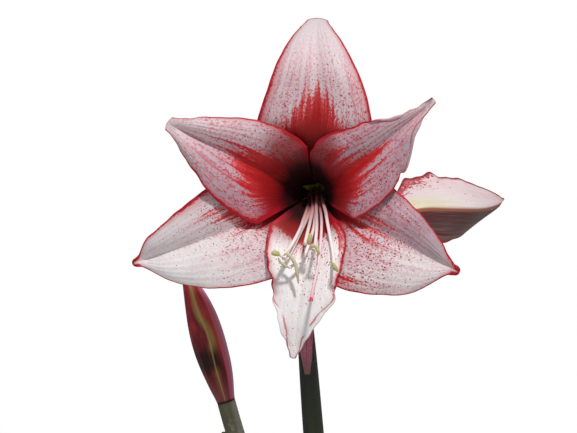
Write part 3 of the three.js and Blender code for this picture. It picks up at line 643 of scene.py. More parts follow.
# Stamens and pistil. x is to the right, y up and z forward from the throat.
FILAMENTS = [
    [(-1.3, 2.25, 1), (-2.4, 0, 10), (0, -3.6, 19), (2, -8.6, 28), (2.4, -13.2, 36), (2.8, -18, 45),
     (2.6, -25.6, 55), (5, -24.6, 64.8)],
    [(1.3, 2.25, 1), (1.8, 1.4, 10), (3, -1.4, 19), (4, -7, 28), (5.6, -12.4, 36), (7.3, -18, 45),
     (8.4, -25.9, 56), (9, -29.2, 66)],
    [(-2.6, 0, 1), (-3.6, -1.6, 10), (-1.8, -5.8, 19), (-1.6, -10, 28), (-1.8, -14, 36), (-2, -18.6, 45),
     (-5.6, -28.3, 58), (-8.6, -32, 67.2)],
    [(-1.3, -2.25, 1), (-2.7, -3.1, 10), (0.2, -6.2, 19), (0.4, -10.2, 28), (-0.4, -14.8, 36),
     (-2, -20.8, 45), (-7, -34, 57), (-8, -33.6, 63.8)],
    [(2.6, 0, 1), (3.9, -1.2, 10), (5.8, -2.2, 19), (8.2, -6.2, 28), (10.8, -9.8, 36), (13.6, -15.2, 46),
     (18.4, -31, 56), (20.6, -39, 65.2)],
    [(1.3, -2.25, 1), (-0.7, -4.1, 10), (2, -5.8, 19), (3.6, -9.6, 28), (4.6, -14, 36), (5, -20.4, 45),
     (1, -34.6, 57), (-4.6, -38.6, 63.8)],
]
# An anther's line, its radius, and how green it is.
ANTHERS = [
    ([(6.2, -25.8, 64.2), (7, -22.5, 65.4), (7.8, -19.2, 65.6)], 1.35, 1.0),
    ([(7.6, -28.4, 65.5), (8.4, -26.6, 66.5), (10.2, -26.2, 67.2), (11.8, -28, 67.2), (12.3, -30.3, 66.4),
      (11, -31.5, 65.4)], 0.95, 0.8),
    ([(-9.2, -31.4, 67.4), (-11.4, -30.2, 68.3), (-13.6, -30.8, 68.2)], 1.6, 1.0),
    ([(-8.2, -32, 64.4), (-5.8, -30.9, 65), (-3, -32.8, 65.2), (-0.9, -36.6, 65), (0.1, -41.6, 64.4),
      (0.4, -47.4, 63)], 1.08, 0.15),
    ([(22.6, -40.2, 64.4), (21.2, -37.6, 65.6), (19.9, -35, 66)], 1.15, 1.0),
    ([(-4.6, -38.4, 63.6), (-6.6, -37.4, 64.6), (-8.8, -35.6, 65.6), (-10.2, -33, 66.4)], 0.85, 0.3),
]
TUBE_FACE = -0.8
STYLE = [(0, 0, TUBE_FACE + GAP), (0, 0, 2.6), (1.7, -2.5, 10), (4.2, -4.6, 19), (6.2, -8.4, 28),
         (8.2, -11.4, 36), (10.2, -17.4, 46), (11.3, -34.5, 60), (10, -47.3, 68), (9.5, -54.6, 73.4)]
# Soft, slightly see-through flesh, for Finish.done.
FLESH = dict(Subsurface_Weight=0.15, Subsurface_Scale=0.001)


def filament_finish():
    finish = Finish("filament")
    [reach] = finish.marks("reach")
    grain = finish.noise_in_place(900.0)
    colour = finish.layered(
        rgb(246, 238, 236),
        (grain.grows(0.4, 0.7) * 0.3, rgb(232, 208, 212)),
        # Red towards the throat, partly their own colour and partly painted shade, and dark red deeper in it,
        # which is painted shade of the throat over their red.
        (reach.grows(56, 22) * (0.65 + 0.3 * grain), rgb(170, 30, 44)),
        (reach.grows(33, 18) * 0.92, rgb(78, 12, 18)),
        (reach.grows(11, 3), rgb(150, 140, 44)),
    )
    return finish.done(colour, 0.42 + 0.1 * grain, grain, 0.05, **FLESH)


def anther_finish():
    finish = Finish("anther")
    ripe, groove = finish.marks("ripe", "groove")
    dust = finish.noise_in_place(2600.0, 4.0)
    grains, _ = finish.cells(finish.place(), 3400.0)
    colour = finish.layered(
        rgb(206, 196, 172),
        (ripe, rgb(190, 182, 112)),
        (dust.grows(0.4, 0.7) * 0.6, rgb(224, 216, 160)),
        (groove * 0.85, rgb(92, 80, 50)),
    )
    return finish.done(colour, 0.8, dust * 0.6 - grains, 0.14)


def pistil_finish():
    finish = Finish("pistil")
    reach, stigma = finish.marks("reach", "stigma")
    fuzz = finish.noise_in_place(2200.0)
    colour = finish.layered(
        rgb(238, 214, 216),
        (reach.grows(52, 26) * 0.85, rgb(166, 44, 60)),
        (reach.grows(62, 76) * 0.6, rgb(228, 130, 146)),
        (stigma, rgb(222, 84, 108)),
        (stigma * fuzz.grows(0.5, 0.75) * 0.6, rgb(246, 190, 196)),
    )
    return finish.done(colour, 0.45 + 0.15 * fuzz, fuzz, 0.08, **FLESH)


def hoop(outline, sides):
    """A ring about the z axis with a closed outline, given by radius and height."""
    outline = np.asarray(outline, float)
    turn = (np.arange(sides) / sides * 2 * np.pi)[:, None]
    points = np.stack([outline[:, 0] * np.cos(turn), outline[:, 0] * np.sin(turn),
                       np.broadcast_to(outline[:, 1], (sides, len(outline)))], axis=-1)
    at = np.arange(sides * len(outline)).reshape(sides, -1)
    beyond = np.roll(at, -1, axis=0)
    faces = np.stack([at, beyond, np.roll(beyond, -1, axis=1), np.roll(at, -1, axis=1)], axis=-1)
    return Form(points, faces.reshape(-1, 4).tolist(), {})


def with_reach(form):
    form.marks["reach"] = form.points[:, 2].copy()
    return form


def make_stamens(filament, anther):
    foot = hoop([(1.6, -0.5), (3.3, -0.5), (3.5, -0.2), (3.45, 1.4), (3.1, 1.8), (1.9, 1.8), (1.6, 1.5)], 40)
    stalks = [tube(places, 60, 12, lambda t, turn: 1.08 * (1 - 0.2 * t) * (1 + 0.05 * np.cos(3 * turn)))
              for places in FILAMENTS]
    form = with_reach(joined([foot, *stalks]))
    add_piece("stamen_filaments", form.placed(THROAT, BLOOM_AXES), filament, "stamen", "stamens")
    pods = []
    for places, size, green in ANTHERS:
        def radius(t, turn, size=size):
            rounded = size * (0.5 + 0.5 * np.sin(np.pi * (0.08 + 0.84 * t)))
            ends = np.sqrt(np.clip(1 - (2 * t - 1) ** 8, 0.04, 1))
            lumps = 1 + 0.05 * np.sin(19 * t + 3 * turn) + 0.04 * np.sin(31 * t - 2 * turn)
            return rounded * ends * lumps * (1 - 0.24 * hump(np.cos(turn), 0, 0.3))
        pod = tube(places, 36, 24, radius, (0.3, 0.5, 1))
        pod.marks["groove"] = hump(pod.marks["front"], 0, 0.22)
        pod.marks["ripe"] = np.full(len(pod.points), green)
        pods.append(pod)
    add_piece("stamen_anthers", joined(pods).placed(THROAT, BLOOM_AXES), anther, "stamen", "stamens")


def make_pistil(pistil):
    style = tube(STYLE, 80, 14, lambda t, turn: 0.8 + 0.25 * smooth(t, 0.85, 1) + 0 * turn)
    end = np.array(STYLE[-1])
    def lobe_radius(t, turn):
        return 0.85 * np.sqrt(np.clip(1.08 - t**3, 0.02, 1)) * (1 - 0.2 * t) + 0 * turn
    forms = [style]
    for degrees in (90, 210, 330):
        turn = math.radians(degrees)
        out = np.array([math.cos(turn) * 1.4, math.sin(turn) * 1.4, 1.5])
        places = [end - (0, 0, 0.4), end + out * 0.55, end + out]
        lobe = tube(places, 16, 14, lobe_radius, (0, 0, 1))
        lobe.marks["stigma"] = smooth(lobe.marks["along"], 0.0, 0.4)
        forms.append(lobe)
    form = with_reach(joined(forms)).placed(THROAT, BLOOM_AXES)
    add_piece("pistil_style", form, pistil, "pistil", "pistil")


# Stalks, spathe and bracts. Marks front and beside on a stalk say which way a point faces.
STALK_FOOT = 178.3
UMBEL_TOP = 462
MAIN_SCAPE = [(8.6, 6, STALK_FOOT), (8.6, 6, STALK_FOOT + 12), (9.5, 10, 240), (6.5, 16, 310), (1, 21, 372),
              (-3.6, 22.6, 430), (-6, 22, UMBEL_TOP - 9), (-6, 22, UMBEL_TOP)]
SIDE_SCAPE_TOP = np.array([-51.2, 10, 392])
SPATHE_LEAN = unit([-0.268, 0.045, 0.962])
SPATHE_LENGTH = 86
SIDE_SCAPE = [(-9, -6.3, STALK_FOOT), (-9, -6.3, STALK_FOOT + 12), (-17, -6, 240), (-30.5, -1, 310),
              (-42, 6.5, 360), SIDE_SCAPE_TOP - 10 * SPATHE_LEAN, SIDE_SCAPE_TOP]


def scape_finish(name, *colours):
    finish = Finish(name)
    dark, pale, bloom_and_lit_side, shaded_side_colour = [rgb(*colour) for colour in colours]
    along, front, beside = finish.marks("along", "front", "beside")
    lines = finish.noise_over(front * 16, beside * 16, along * 7)
    mottle = finish.noise_in_place(90.0)
    dust = finish.noise_in_place(420.0, 4.0)
    colour = finish.layered(
        dark,
        # A green over all but the top of a stalk; on the main stalk the near-black top left by it is painted
        # shade under the bloom.
        (along.grows(0.86, 0.6) * 0.75, rgb(70, 84, 44)),
        (lines.grows(0.35, 0.7) * 0.55, pale),
        (dust.grows(0.45, 0.75) * mottle.grows(0.35, 0.65) * 0.5, bloom_and_lit_side),
        # Lighter on the right side and darker on the left: painted light and painted shade.
        ((front + (lines - 0.5) * 0.6).grows(0.2, 0.9) * 0.6, bloom_and_lit_side),
        ((front + (lines - 0.5) * 0.6).grows(-0.1, -0.9) * 0.6, shaded_side_colour),
        (along.grows(0.12, 0.0) * 0.6, rgb(172, 178, 118)),
    )
    return finish.done(colour, 0.5 + 0.2 * mottle, lines + dust * 0.25, 0.2)


def make_scapes():
    # The main stalk's near-black greens are painted shade over its dark green, the stalk standing in the
    # bloom's shadow.
    main = scape_finish("scape_main_green", (22, 22, 16), (38, 40, 26), (60, 62, 52), (15, 15, 11))
    side = scape_finish("scape_side_green", (96, 92, 66), (134, 128, 102), (190, 182, 166), (64, 62, 42))
    def main_radius(t, turn):
        radius = 6.4 * station([1.15, 1.1, 1.02, 0.92, 0.72], t) + 3.6 * smooth(t, 0.955, 1)
        return radius * (1 + 0.02 * np.cos(2 * turn + 0.4) + 0.006 * np.cos(17 * turn))
    def side_radius(t, turn):
        radius = 5.6 * station([1.2, 1.15, 1.08, 1, 0.97], t)
        return radius * (1 + 0.03 * np.cos(2 * turn + 1.2) + 0.006 * np.cos(15 * turn))
    add_piece("scape_main_stalk", tube(MAIN_SCAPE, 150, 72, main_radius), main, "scape_green", "scape_main")
    add_piece("scape_side_stalk", tube(SIDE_SCAPE, 130, 64, side_radius), side, "scape_green", "scape_side")


def spathe_finish():
    finish = Finish("closed_spathe")
    along, front, beside = finish.marks("along", "front", "beside")
    veins = finish.noise_over(front * 14, beside * 14, along * 2)
    blots = finish.noise_over(front * 2.2, beside * 2.2, along * 7)
    faced = front.grows(-0.15, 0.15)
    lean = 0.24 * finish.size_of(along - 0.47).grows(0.26, 0)
    lean = lean - 0.16 * along.grows(0.5, 0.64) + 0.18 * along.grows(0.66, 0.9)
    place = beside - lean + (veins - 0.5) * 0.22 + (blots - 0.5) * 0.25
    keel = finish.size_of(place).grows(0.34, 0.04) * faced
    orange = finish.size_of(place - 0.26).grows(0.36, 0.05) * faced * along.grows(0.22, 0.4)
    line = finish.size_of(beside - lean * 0.4).grows(0.07, 0.02) * faced
    # The right side and right edge paler pink: partly the valves' own colour and partly painted light from
    # the right.
    pink_and_lit_right = (beside + (veins - 0.5) * 0.1).grows(0.5, 0.66)
    # A near-black patch on the front's left, a third of the way up: painted shade.
    dark = finish.size_of(along - 0.31 + (blots - 0.5) * 0.12).grows(0.13, 0.03) * beside.grows(0.55, 0.25)
    colour = finish.layered(
        rgb(176, 46, 54),
        ((blots + 0.3 * veins + along.grows(0.7, 0.35) * 0.25).grows(0.5, 0.85) * 0.85, rgb(86, 20, 26)),
        (orange * 0.85, rgb(178, 58, 46)),
        (keel * (0.35 + 0.5 * along.grows(0.25, 0.42)), rgb(160, 136, 74)),
        (along.grows(0.2, 0.04) * 0.5, rgb(150, 84, 86)),
        (dark * faced * 0.92, rgb(36, 9, 9)),
        (line * 0.4, rgb(206, 172, 128)),
        (pink_and_lit_right * 0.9, rgb(206, 96, 118)),
        (beside.grows(0.72, 1.0) * 0.8, rgb(206, 160, 184)),
        (veins.grows(0.55, 0.75) * 0.3, rgb(206, 132, 124)),
        (along.grows(0.02, 0.0), rgb(40, 16, 16)),
    )
    return finish.done(colour, 0.55 + 0.2 * blots, veins + blots * 0.3, 0.22, Specular_IOR_Level=0.25)


def make_closed_spathe():
    def up(distance, aside):
        return SIDE_SCAPE_TOP + SPATHE_LEAN * distance + (aside, 0, 0)
    places = [up(GAP, 0), up(6, 0), up(28, -0.2), up(58, -0.8), up(SPATHE_LENGTH, -3)]
    radii = [5.6, 7.8, 9.5, 10.3, 10.2, 9.1, 7, 4, 0.9]
    def radius(t, turn):
        keel = np.abs(np.cos(turn)) ** 8
        seam = hump(np.cos(turn + 0.12), 0, 0.09)
        lap = 0.35 * smooth(np.sin(turn) * np.cos(turn + 0.12), -0.02, 0.03)
        swell = 0.25 * np.sin(2 * np.pi * (1.6 * t + 0.1)) * np.cos(turn - 0.8)
        return (station(radii, t) * (0.975 + 0.08 * keel * smooth(t, 0, 0.3) - 0.035 * seam)
                + (lap + swell) * smooth(t, 0.05, 0.25) * smooth(t, 1, 0.85))
    form = tube(places, 130, 96, radius, (0.02, -1, 0))
    add_piece("closed_spathe_valves", form, spathe_finish(), "spathe", "closed_spathe")


def bract_finish():
    finish = Finish("dry_bract")
    along, across, back = finish.marks("along", "across", "back")
    veins = finish.noise_over(across * 16, along * 3, back * 2)
    crepe = finish.noise_in_place(700.0, 4.0)
    colour = finish.layered(
        rgb(186, 100, 122),
        (veins.grows(0.4, 0.65) * 0.6, rgb(140, 58, 82)),
        (crepe.grows(0.5, 0.75) * 0.35, rgb(206, 150, 158)),
        (along.grows(0.7, 1.0) * 0.7, rgb(110, 88, 74)),
    )
    return finish.done(colour, 0.6, veins * 0.8 + crepe * 0.5, 0.25)


def make_bracts():
    bract = bract_finish()
    front = [(-6.5, 14.4, 457), (-6.8, 8, 459), (-6.2, 4, 451), (-4.6, 4.5, 432), (-3, 7.5, 409)]
    back = [(-5.5, 29.65, 457), (-5, 35.5, 458.8), (-5, 38.5, 450), (-9, 37.5, 438), (-12, 35, 426)]
    widths = [2.6, 5.4, 5.8, 4.8, 3.6, 1.6]
    def marks(u, v):
        return {"along": u, "across": v}
    def thickness(u, v):
        return 0.6 - 0.25 * v**4
    for name, places, side, twist in (("front", front, (-1, 0, 0), 25), ("back", back, (1, 0, 0), -35)):
        surface = ribbon(places, side, widths, -0.35, 0.5, 2, twist)
        def creased(u, v, surface=surface):
            points = surface(u, v)
            crease = 0.35 * np.sin(9 * v + 5 * u) + 0.2 * np.sin(21 * v - 9 * u)
            points[..., 1] += crease * np.sin(np.pi * u)
            return points
        form = blade(creased, thickness, 90, 40, marks)
        add_piece(f"bract_{name}_withered", form, bract, "dry_bract", f"bract_{name}")


# A flower's stalk: the pedicel, the ovary, and the tube that carries its tepals.
def flower_stalk_finish():
    finish = Finish("flower_stalk")
    along, front, beside = finish.marks("along", "front", "beside")
    lines = finish.noise_over(front * 10, beside * 10, along * 5)
    mottle = finish.noise_in_place(160.0)
    colour = finish.layered(
        rgb(116, 130, 72),
        (lines.grows(0.4, 0.7) * 0.5, rgb(148, 158, 98)),
        (mottle.grows(0.45, 0.75) * 0.5, rgb(132, 92, 70)),
        (along.grows(0.86, 1.0) * 0.5, rgb(150, 140, 60)),
    )
    return finish.done(colour, 0.45 + 0.15 * mottle, lines, 0.18)


def make_flower_stalk(name, places, finish, side):
    path = Path(places)
    def radius(t, turn):
        left = (1 - t) * path.length
        ovary = hump(left, 24, 8)
        lobes = 1 + 0.07 * ovary * np.cos(3 * turn) + 0.008 * np.cos(12 * turn)
        flare = 3.4 * smooth(-left, -9, 0)
        slim = 3.3 + 1.5 * smooth(-left, -34, -14)
        return (np.maximum(slim, 3.3 + 2.7 * ovary) + flare) * lobes
    add_piece(f"{name}_fine", tube(path, 120, 48, radius, side), finish, "flower_stalk", name)


def make_bloom_stalk(finish):
    facing = np.array(BLOOM_AXES[2])
    places = [(-9, 20, UMBEL_TOP + GAP), (-9, 20.2, UMBEL_TOP + 6), (-8, 23.5, 478), (-3, 29, 497),
              (5, 30.5, 512), THROAT - facing * 40, THROAT - facing * 20, THROAT + facing * TUBE_FACE]
    make_flower_stalk("flower_stalk_main", places, finish, (1, 0, 0))


# The opening bud: an outline from base to tip and three outer tepals, each folded on a keel.
BUD_BASE = np.array([38, 34.4, 495.9])
BUD_AXIS = unit([0.834, 0.536, 0.129])
BUD_BESIDE = unit([-BUD_AXIS[1], BUD_AXIS[0], 0])
BUD_AXES = [BUD_BESIDE, np.cross(BUD_AXIS, BUD_BESIDE), BUD_AXIS]
BUD_LENGTH = 100
BUD_LAYER = 2.2
BUD_RADII = [5, 13.5, 20.5, 21.3, 21, 18.8, 13.5, 7.6, 1.4]
BUD_TWIST = [-23, -1, 20]
BUD_TEPALS = {
    "bud_tepal_front": dict(keel=171, over=1, share=1, sides=([50, 55, 60, 66, 72, 85, 85, 72, 38],
                                                              [50, 60, 78, 88, 86, 84, 80, 70, 38])),
    "bud_tepal_upper": dict(keel=51, over=0, share=0.95, sides=([50, 56, 58, 58, 58, 58, 56, 50, 36],
                                                               [50, 56, 57, 57, 57, 57, 55, 50, 36])),
    "bud_tepal_lower": dict(keel=291, over=0, share=0.95, sides=([50, 56, 57, 57, 57, 57, 55, 50, 36],
                                                                [50, 56, 58, 58, 58, 58, 56, 50, 36])),
}


def bud_radius(share):
    return station(BUD_RADII, np.minimum(share, 1))


def bud_tepal_surface(tepal):
    def surface(u, v):
        share = u * tepal["share"]
        from_keel = np.radians(by_side(tepal["sides"], u, v)) * v
        keel = np.radians(tepal["keel"] + station(BUD_TWIST, share))
        fold = np.cos(from_keel) + np.sqrt(np.sin(from_keel) ** 2 + 0.006)
        high = np.maximum(v, 0) ** 4
        calm = smooth(u, 0.15, 0.3) * smooth(u, 0.85, 0.6)
        crest = 3.0 * hump(u, 0.472, 0.042) + 3.5 * hump(u, 0.28, 0.07)
        crest = crest + 0.5 * np.sin(2 * np.pi * (3.4 * u - 0.1)) + 0.3 * np.sin(2 * np.pi * 11 * u)
        belly = 2.9 * hump(u, 0.4, 0.08)
        belly = belly - 2.6 * smooth(u, 0.46, 0.68) * smooth(u, 1, 0.8)
        ruffle = tepal["over"] * (high * calm * crest + np.maximum(-v, 0) ** 4 * belly)
        layer = tepal["over"] * BUD_LAYER * smooth(share, 1, 0.93)
        ribs = 0.1 * np.cos(2 * np.pi * 9 * v) * smooth(u, 0.1, 0.3)
        radius = bud_radius(share) / fold + layer + ruffle + ribs
        angle = keel - from_keel
        return np.stack([radius * np.cos(angle), radius * np.sin(angle), share * BUD_LENGTH], axis=-1)
    return surface


def bud_finish():
    """Outside of the bud: pale above the keel, maroon below it, which is its own colour darkened by painted
    shade, with a strip of orange between that is painted light shining through the petal.
    """
    finish = Finish("bud_petal")
    along, across, aside, dusk, rim, seed = finish.marks("along", "across", "aside", "dusk", "rim", "seed")
    streaks = finish.noise_over(across * 12, along * 2.2, seed)
    threads = finish.noise_over(across * 42, along * 4, seed, detail=2.0)
    crumbs = finish.noise_over(aside / 1.4, along * 55, seed, detail=2.0)
    dot, own = finish.cells(finish.vector(aside * 0.55, along * 48, seed), 1.0)
    near_top = rim.grows(17, 1) * along.grows(0.6, 0.38) * (1 - dusk)
    freckle = (0.26 + own * 0.2 - dot).grows(0.0, 0.1) * (near_top * 1.7 - own).grows(0.0, 0.1)
    crest = rim.grows(11, 0.5) * along.grows(0.54, 0.3) * (1 - dusk)
    blotch = (crest + (streaks - 0.5) * 1.6 + (crumbs - 0.5) * 2.0).grows(0.42, 0.68)
    creamy = along.grows(0.62, 0.2) * finish.size_of(aside).grows(13, 2)
    day = finish.layered(
        rgb(236, 222, 222),
        (threads.grows(0.4, 0.7) * 0.4, rgb(222, 196, 200)),
        (rim.grows(24, 4) * 0.4, rgb(232, 192, 198)),
        (rim.grows(12, 0) * streaks.grows(0.4, 0.65) * 0.6, rgb(226, 150, 160)),
        (creamy * 0.7, rgb(224, 216, 166)),
        (blotch * 0.85, rgb(184, 36, 46)),
        (freckle * 0.9, rgb(160, 30, 40)),
    )
    # The maroon side: the tepal's own dusky colour with painted shade over it.
    maroon_with_shade = finish.layered(
        rgb(108, 72, 70),
        (streaks.grows(0.35, 0.65) * 0.7, rgb(74, 28, 32)),
        (finish.size_of(aside).grows(15, 3), rgb(92, 28, 28)),
        (threads.grows(0.45, 0.7) * 0.45, rgb(144, 110, 108)),
        (along.grows(0.5, 0.78) * 0.55, rgb(98, 84, 70)),
        (rim.grows(5, 3) * along.grows(0.64, 0.5) * 0.7, rgb(124, 92, 82)),
        (finish.size_of(rim - 4.2).grows(1.0, 0.3) * along.grows(0.66, 0.56), rgb(104, 12, 18)),
        # Painted light shining through the petal, in a strip just below the keel.
        (finish.size_of(aside).grows(2.6, 1.2), rgb(168, 100, 76)),
    )
    colour = finish.layered(
        finish.blend(dusk, day, maroon_with_shade),
        (rim.grows(1.5, 0.5), rgb(140, 24, 34)),
    )
    return finish.done(colour, 0.5, threads + streaks * 0.5, 0.16,
                       Subsurface_Weight=0.1, Subsurface_Scale=0.002)


def make_opening_bud(stalk):
    base = BUD_BASE
    places = [(-2.2, 24.6, UMBEL_TOP + GAP), (-2.2, 24.7, UMBEL_TOP + 6), (3.5, 24, 482.5),
              base - BUD_AXIS * 30, base - BUD_AXIS * 15, base + BUD_AXIS * TUBE_FACE]
    make_flower_stalk("flower_stalk_bud", places, stalk, BUD_BESIDE)
    petal = bud_finish()
    for count, (name, tepal) in enumerate(BUD_TEPALS.items()):
        def marks(u, v, tepal=tepal, count=count):
            half = np.radians(by_side(tepal["sides"], u, v)) * bud_radius(u) * 0.85
            # Which part carries the maroon and its painted shade: the front tepal's lower half, none of the
            # upper tepal, all of the lower one.
            dusk = [smooth(-v, -0.01, 0.02), 0.0, 1.0][count]
            return {"along": u, "across": v, "aside": half * v, "rim": half * (1 - np.abs(v)),
                    "dusk": dusk, "seed": 31 + 3.1 * count}
        form = blade(bud_tepal_surface(tepal), lambda u, v: 0.62 - 0.25 * v**6, 120, 84, marks)
        add_piece(name, form.placed(base, BUD_AXES), petal, "bud_tepal", name)
    inner_length = 0.93 * BUD_LENGTH
    def radius(t, turn):
        furl = 0.8 * smooth(((turn / (2 * np.pi) * 3 + 1.5 * t) % 1), 0.0, 0.12)
        rolled = (0.56 * bud_radius(0.93 * t) - 1.6) * (1 + 0.06 * np.cos(3 * turn))
        return rolled + furl * smooth(t, 0.1, 0.3)
    core = tube([(0, 0, TUBE_FACE + GAP), (0, 0, inner_length / 2), (0, 0, inner_length)], 100, 90, radius)
    front = core.marks["front"]
    core.marks.update({"across": front, "aside": front * 8, "rim": 9 + 0 * front, "seed": 50 + 0 * front})
    add_piece("bud_inner_furl", core.placed(base, BUD_AXES), petal, "bud_tepal", "bud_inner_tepals")


# Leaves.
RANK = math.radians(125)
LEAVES = {
    "leaf_front_outer": dict(rank=-1, foot=17.6, aside=1, length=300, lean=(5, 128), bend=1.5, half=19),
    "leaf_front_inner": dict(rank=-1, foot=12.2, aside=-2, length=225, lean=(4, 68), bend=1.5, half=17),
    "leaf_back_outer": dict(rank=1, foot=17.8, aside=0, length=280, lean=(6, 112), bend=1.4, half=18),
    "leaf_back_inner": dict(rank=1, foot=12.4, aside=2, length=205, lean=(5, 48), bend=1.3, half=16),
}


def leaf_finish():
    finish = Finish("leaf")
    along, across, back, seed = finish.marks("along", "across", "back", "seed")
    veins = finish.noise_over(across * 24, along * 1.4, seed)
    threads = finish.noise_over(across * 70, along * 5, seed, detail=2.0)
    mottle = finish.noise_in_place(60.0)
    colour = finish.layered(
        rgb(56, 98, 44),
        (veins.grows(0.35, 0.7) * 0.55, rgb(80, 124, 58)),
        (mottle.grows(0.4, 0.75) * 0.4, rgb(44, 82, 40)),
        (finish.size_of(across).grows(0.14, 0.0) * 0.5, rgb(118, 150, 84)),
        (finish.size_of(across).grows(0.95, 1.0) * 0.5, rgb(130, 150, 80)),
        (back * 0.35, rgb(110, 142, 92)),
        (along.grows(0.16, 0.0) * 0.85, rgb(184, 192, 128)),
        (along.grows(0.965, 1.0) * 0.7, rgb(152, 128, 70)),
    )
    return finish.done(colour, 0.34 + 0.14 * mottle, veins + threads * 0.4, 0.22)


def make_leaves():
    leaf_green = leaf_finish()
    for count, (name, leaf) in enumerate(LEAVES.items()):
        out = np.array([math.cos(RANK), math.sin(RANK), 0]) * leaf["rank"]
        across = np.array([-out[1], out[0], 0])
        place = out * leaf["foot"] + across * leaf["aside"] * leaf["rank"] + (0, 0, STALK_FOOT + 0.6)
        places = []
        pieces = 12
        for i in range(pieces + 1):
            places.append(place)
            first, last = leaf["lean"]
            lean = math.radians(first + (last - first) * ((i + 0.5) / pieces) ** leaf["bend"])
            step = leaf["length"] / pieces
            place = place + out * math.sin(lean) * step + (0, 0, math.cos(lean) * step)
        widths = [share * leaf["half"] for share in (0.55, 0.7, 0.92, 1, 0.98, 0.85, 0.6, 0.12)]
        surface = ribbon(places, -across, widths, 0.24, 0.6, 2, 12 * leaf["rank"])
        def thickness(u, v):
            return (3.0 - 1.8 * u) * (1 - 0.62 * v * v) + 0.2 + 0.1 * np.cos(2 * np.pi * 8 * v) * (1 - v * v)
        def marks(u, v, seed=count * 5.3):
            return {"along": u, "across": v, "seed": seed}
        form = blade(surface, thickness, 170, 60, marks)
        add_piece(f"{name}_strap", form, leaf_green, "leaf_green", name)


# Pot, soil and bulb.
POT_HEIGHT = 142
POT_BAND = 112
POT_FLOOR = 9
SOIL_LEVEL = 121
BULB_BOTTOM = 62
NECK_FLOOR = 178
NECK_TOP = 193


def pot_inner_radius(height):
    return 50 + 25 * (height - POT_FLOOR - 4) / (POT_HEIGHT - POT_FLOOR - 8)


def terracotta_finish():
    finish = Finish("terracotta")
    place = finish.place()
    [height] = finish.marks("height")
    clouds = finish.noise(place, 28.0, 4.0)
    grain = finish.noise(place, 900.0, 4.0)
    rings = finish.noise(finish.stretched(place, 3, 3, 420), 1.0, 2.0)
    lime = finish.noise(finish.stretched(place, 34, 34, 60), 1.0, 5.0, 0.6)
    pits, own = finish.cells(place, 420.0)
    pit = (own.grows(0.82, 0.86)) * pits.grows(0.3, 0.1)
    salts = (lime + (height / POT_HEIGHT) * 0.22).grows(0.66, 0.86)
    colour = finish.layered(
        rgb(184, 104, 70),
        (clouds.grows(0.35, 0.7) * 0.6, rgb(204, 128, 92)),
        (rings.grows(0.45, 0.7) * 0.35, rgb(164, 86, 56)),
        (grain.grows(0.5, 0.75) * 0.3, rgb(146, 78, 54)),
        (height.grows(30, 0) * 0.4, rgb(140, 76, 52)),
        (salts * 0.55, rgb(226, 204, 184)),
        (pit * 0.6, rgb(112, 58, 40)),
    )
    return finish.done(colour, 0.78 + 0.14 * clouds, grain * 0.5 + rings * 0.6 - pit, 0.3)


def make_pot():
    outline = [
        (0, 0), (52.4, 0), (54.2, 0.5), (55, 2), (75.2, POT_BAND - 1), (75.9, POT_BAND),
        (79, POT_BAND + 0.5), (80.4, POT_BAND + 1.1), (80.9, POT_BAND + 2.4), (81.9, POT_HEIGHT - 4),
        (81.7, POT_HEIGHT - 1.6),
        (80.6, POT_HEIGHT - 0.4), (79, POT_HEIGHT), (77.4, POT_HEIGHT - 0.2), (76, POT_HEIGHT - 1.4),
        (75, POT_HEIGHT - 4), (50, POT_FLOOR + 4), (46, POT_FLOOR), (0, POT_FLOOR),
    ]
    def radius(r, z, turn):
        lathe = 0.12 * np.sin(z * 1.9) + 0.08 * np.sin(z * 0.7 + 1) + 0 * turn
        wobble = 0.15 * np.sin(2 * turn + z * 0.02) + 0.1 * np.sin(5 * turn)
        return r + (lathe + wobble) * smooth(r, 40, 54) * smooth(z, 0.6, 6) - 0.12
    form = turned(closer(outline, 1.6), 160, radius, lambda r, z, turn: z, lambda r, z, turn: {"height": z})
    add_piece("pot_clay", form, terracotta_finish(), "terracotta", "pot")


BULB_OUTLINE = [
    (0, BULB_BOTTOM), (15, BULB_BOTTOM + 0.5), (24, BULB_BOTTOM + 4), (37, BULB_BOTTOM + 14),
    (46, BULB_BOTTOM + 29), (50, BULB_BOTTOM + 45), (50.5, BULB_BOTTOM + 58), (48, 133), (42.5, 145),
    (35.5, 156), (29.8, 166), (26.8, 175), (26, 184), (27.6, NECK_TOP - 1), (26.4, NECK_TOP),
    (24.6, NECK_TOP - 3), (23.2, NECK_FLOOR + 4),
    (22.8, NECK_FLOOR), (0, NECK_FLOOR),
]
TUNIC_EDGES = [(136, 5, 0.3), (152, 8, 1.9), (167, 6, 4.1), (181, 5, 5.2)]


def tunic_layers(z, turn):
    """How many dry tunics cover a place on the bulb. Their upper edges are torn."""
    total = 0
    for height, ragged, phase in TUNIC_EDGES:
        edge = height + ragged * (np.sin(2 * turn + phase) + 0.5 * np.sin(5 * turn + 2 * phase)
                                  + 0.3 * np.sin(13 * turn + 3 * phase) + 0.15 * np.sin(31 * turn + phase))
        total = total + smooth(edge - z, 0, 1.0)
    return total


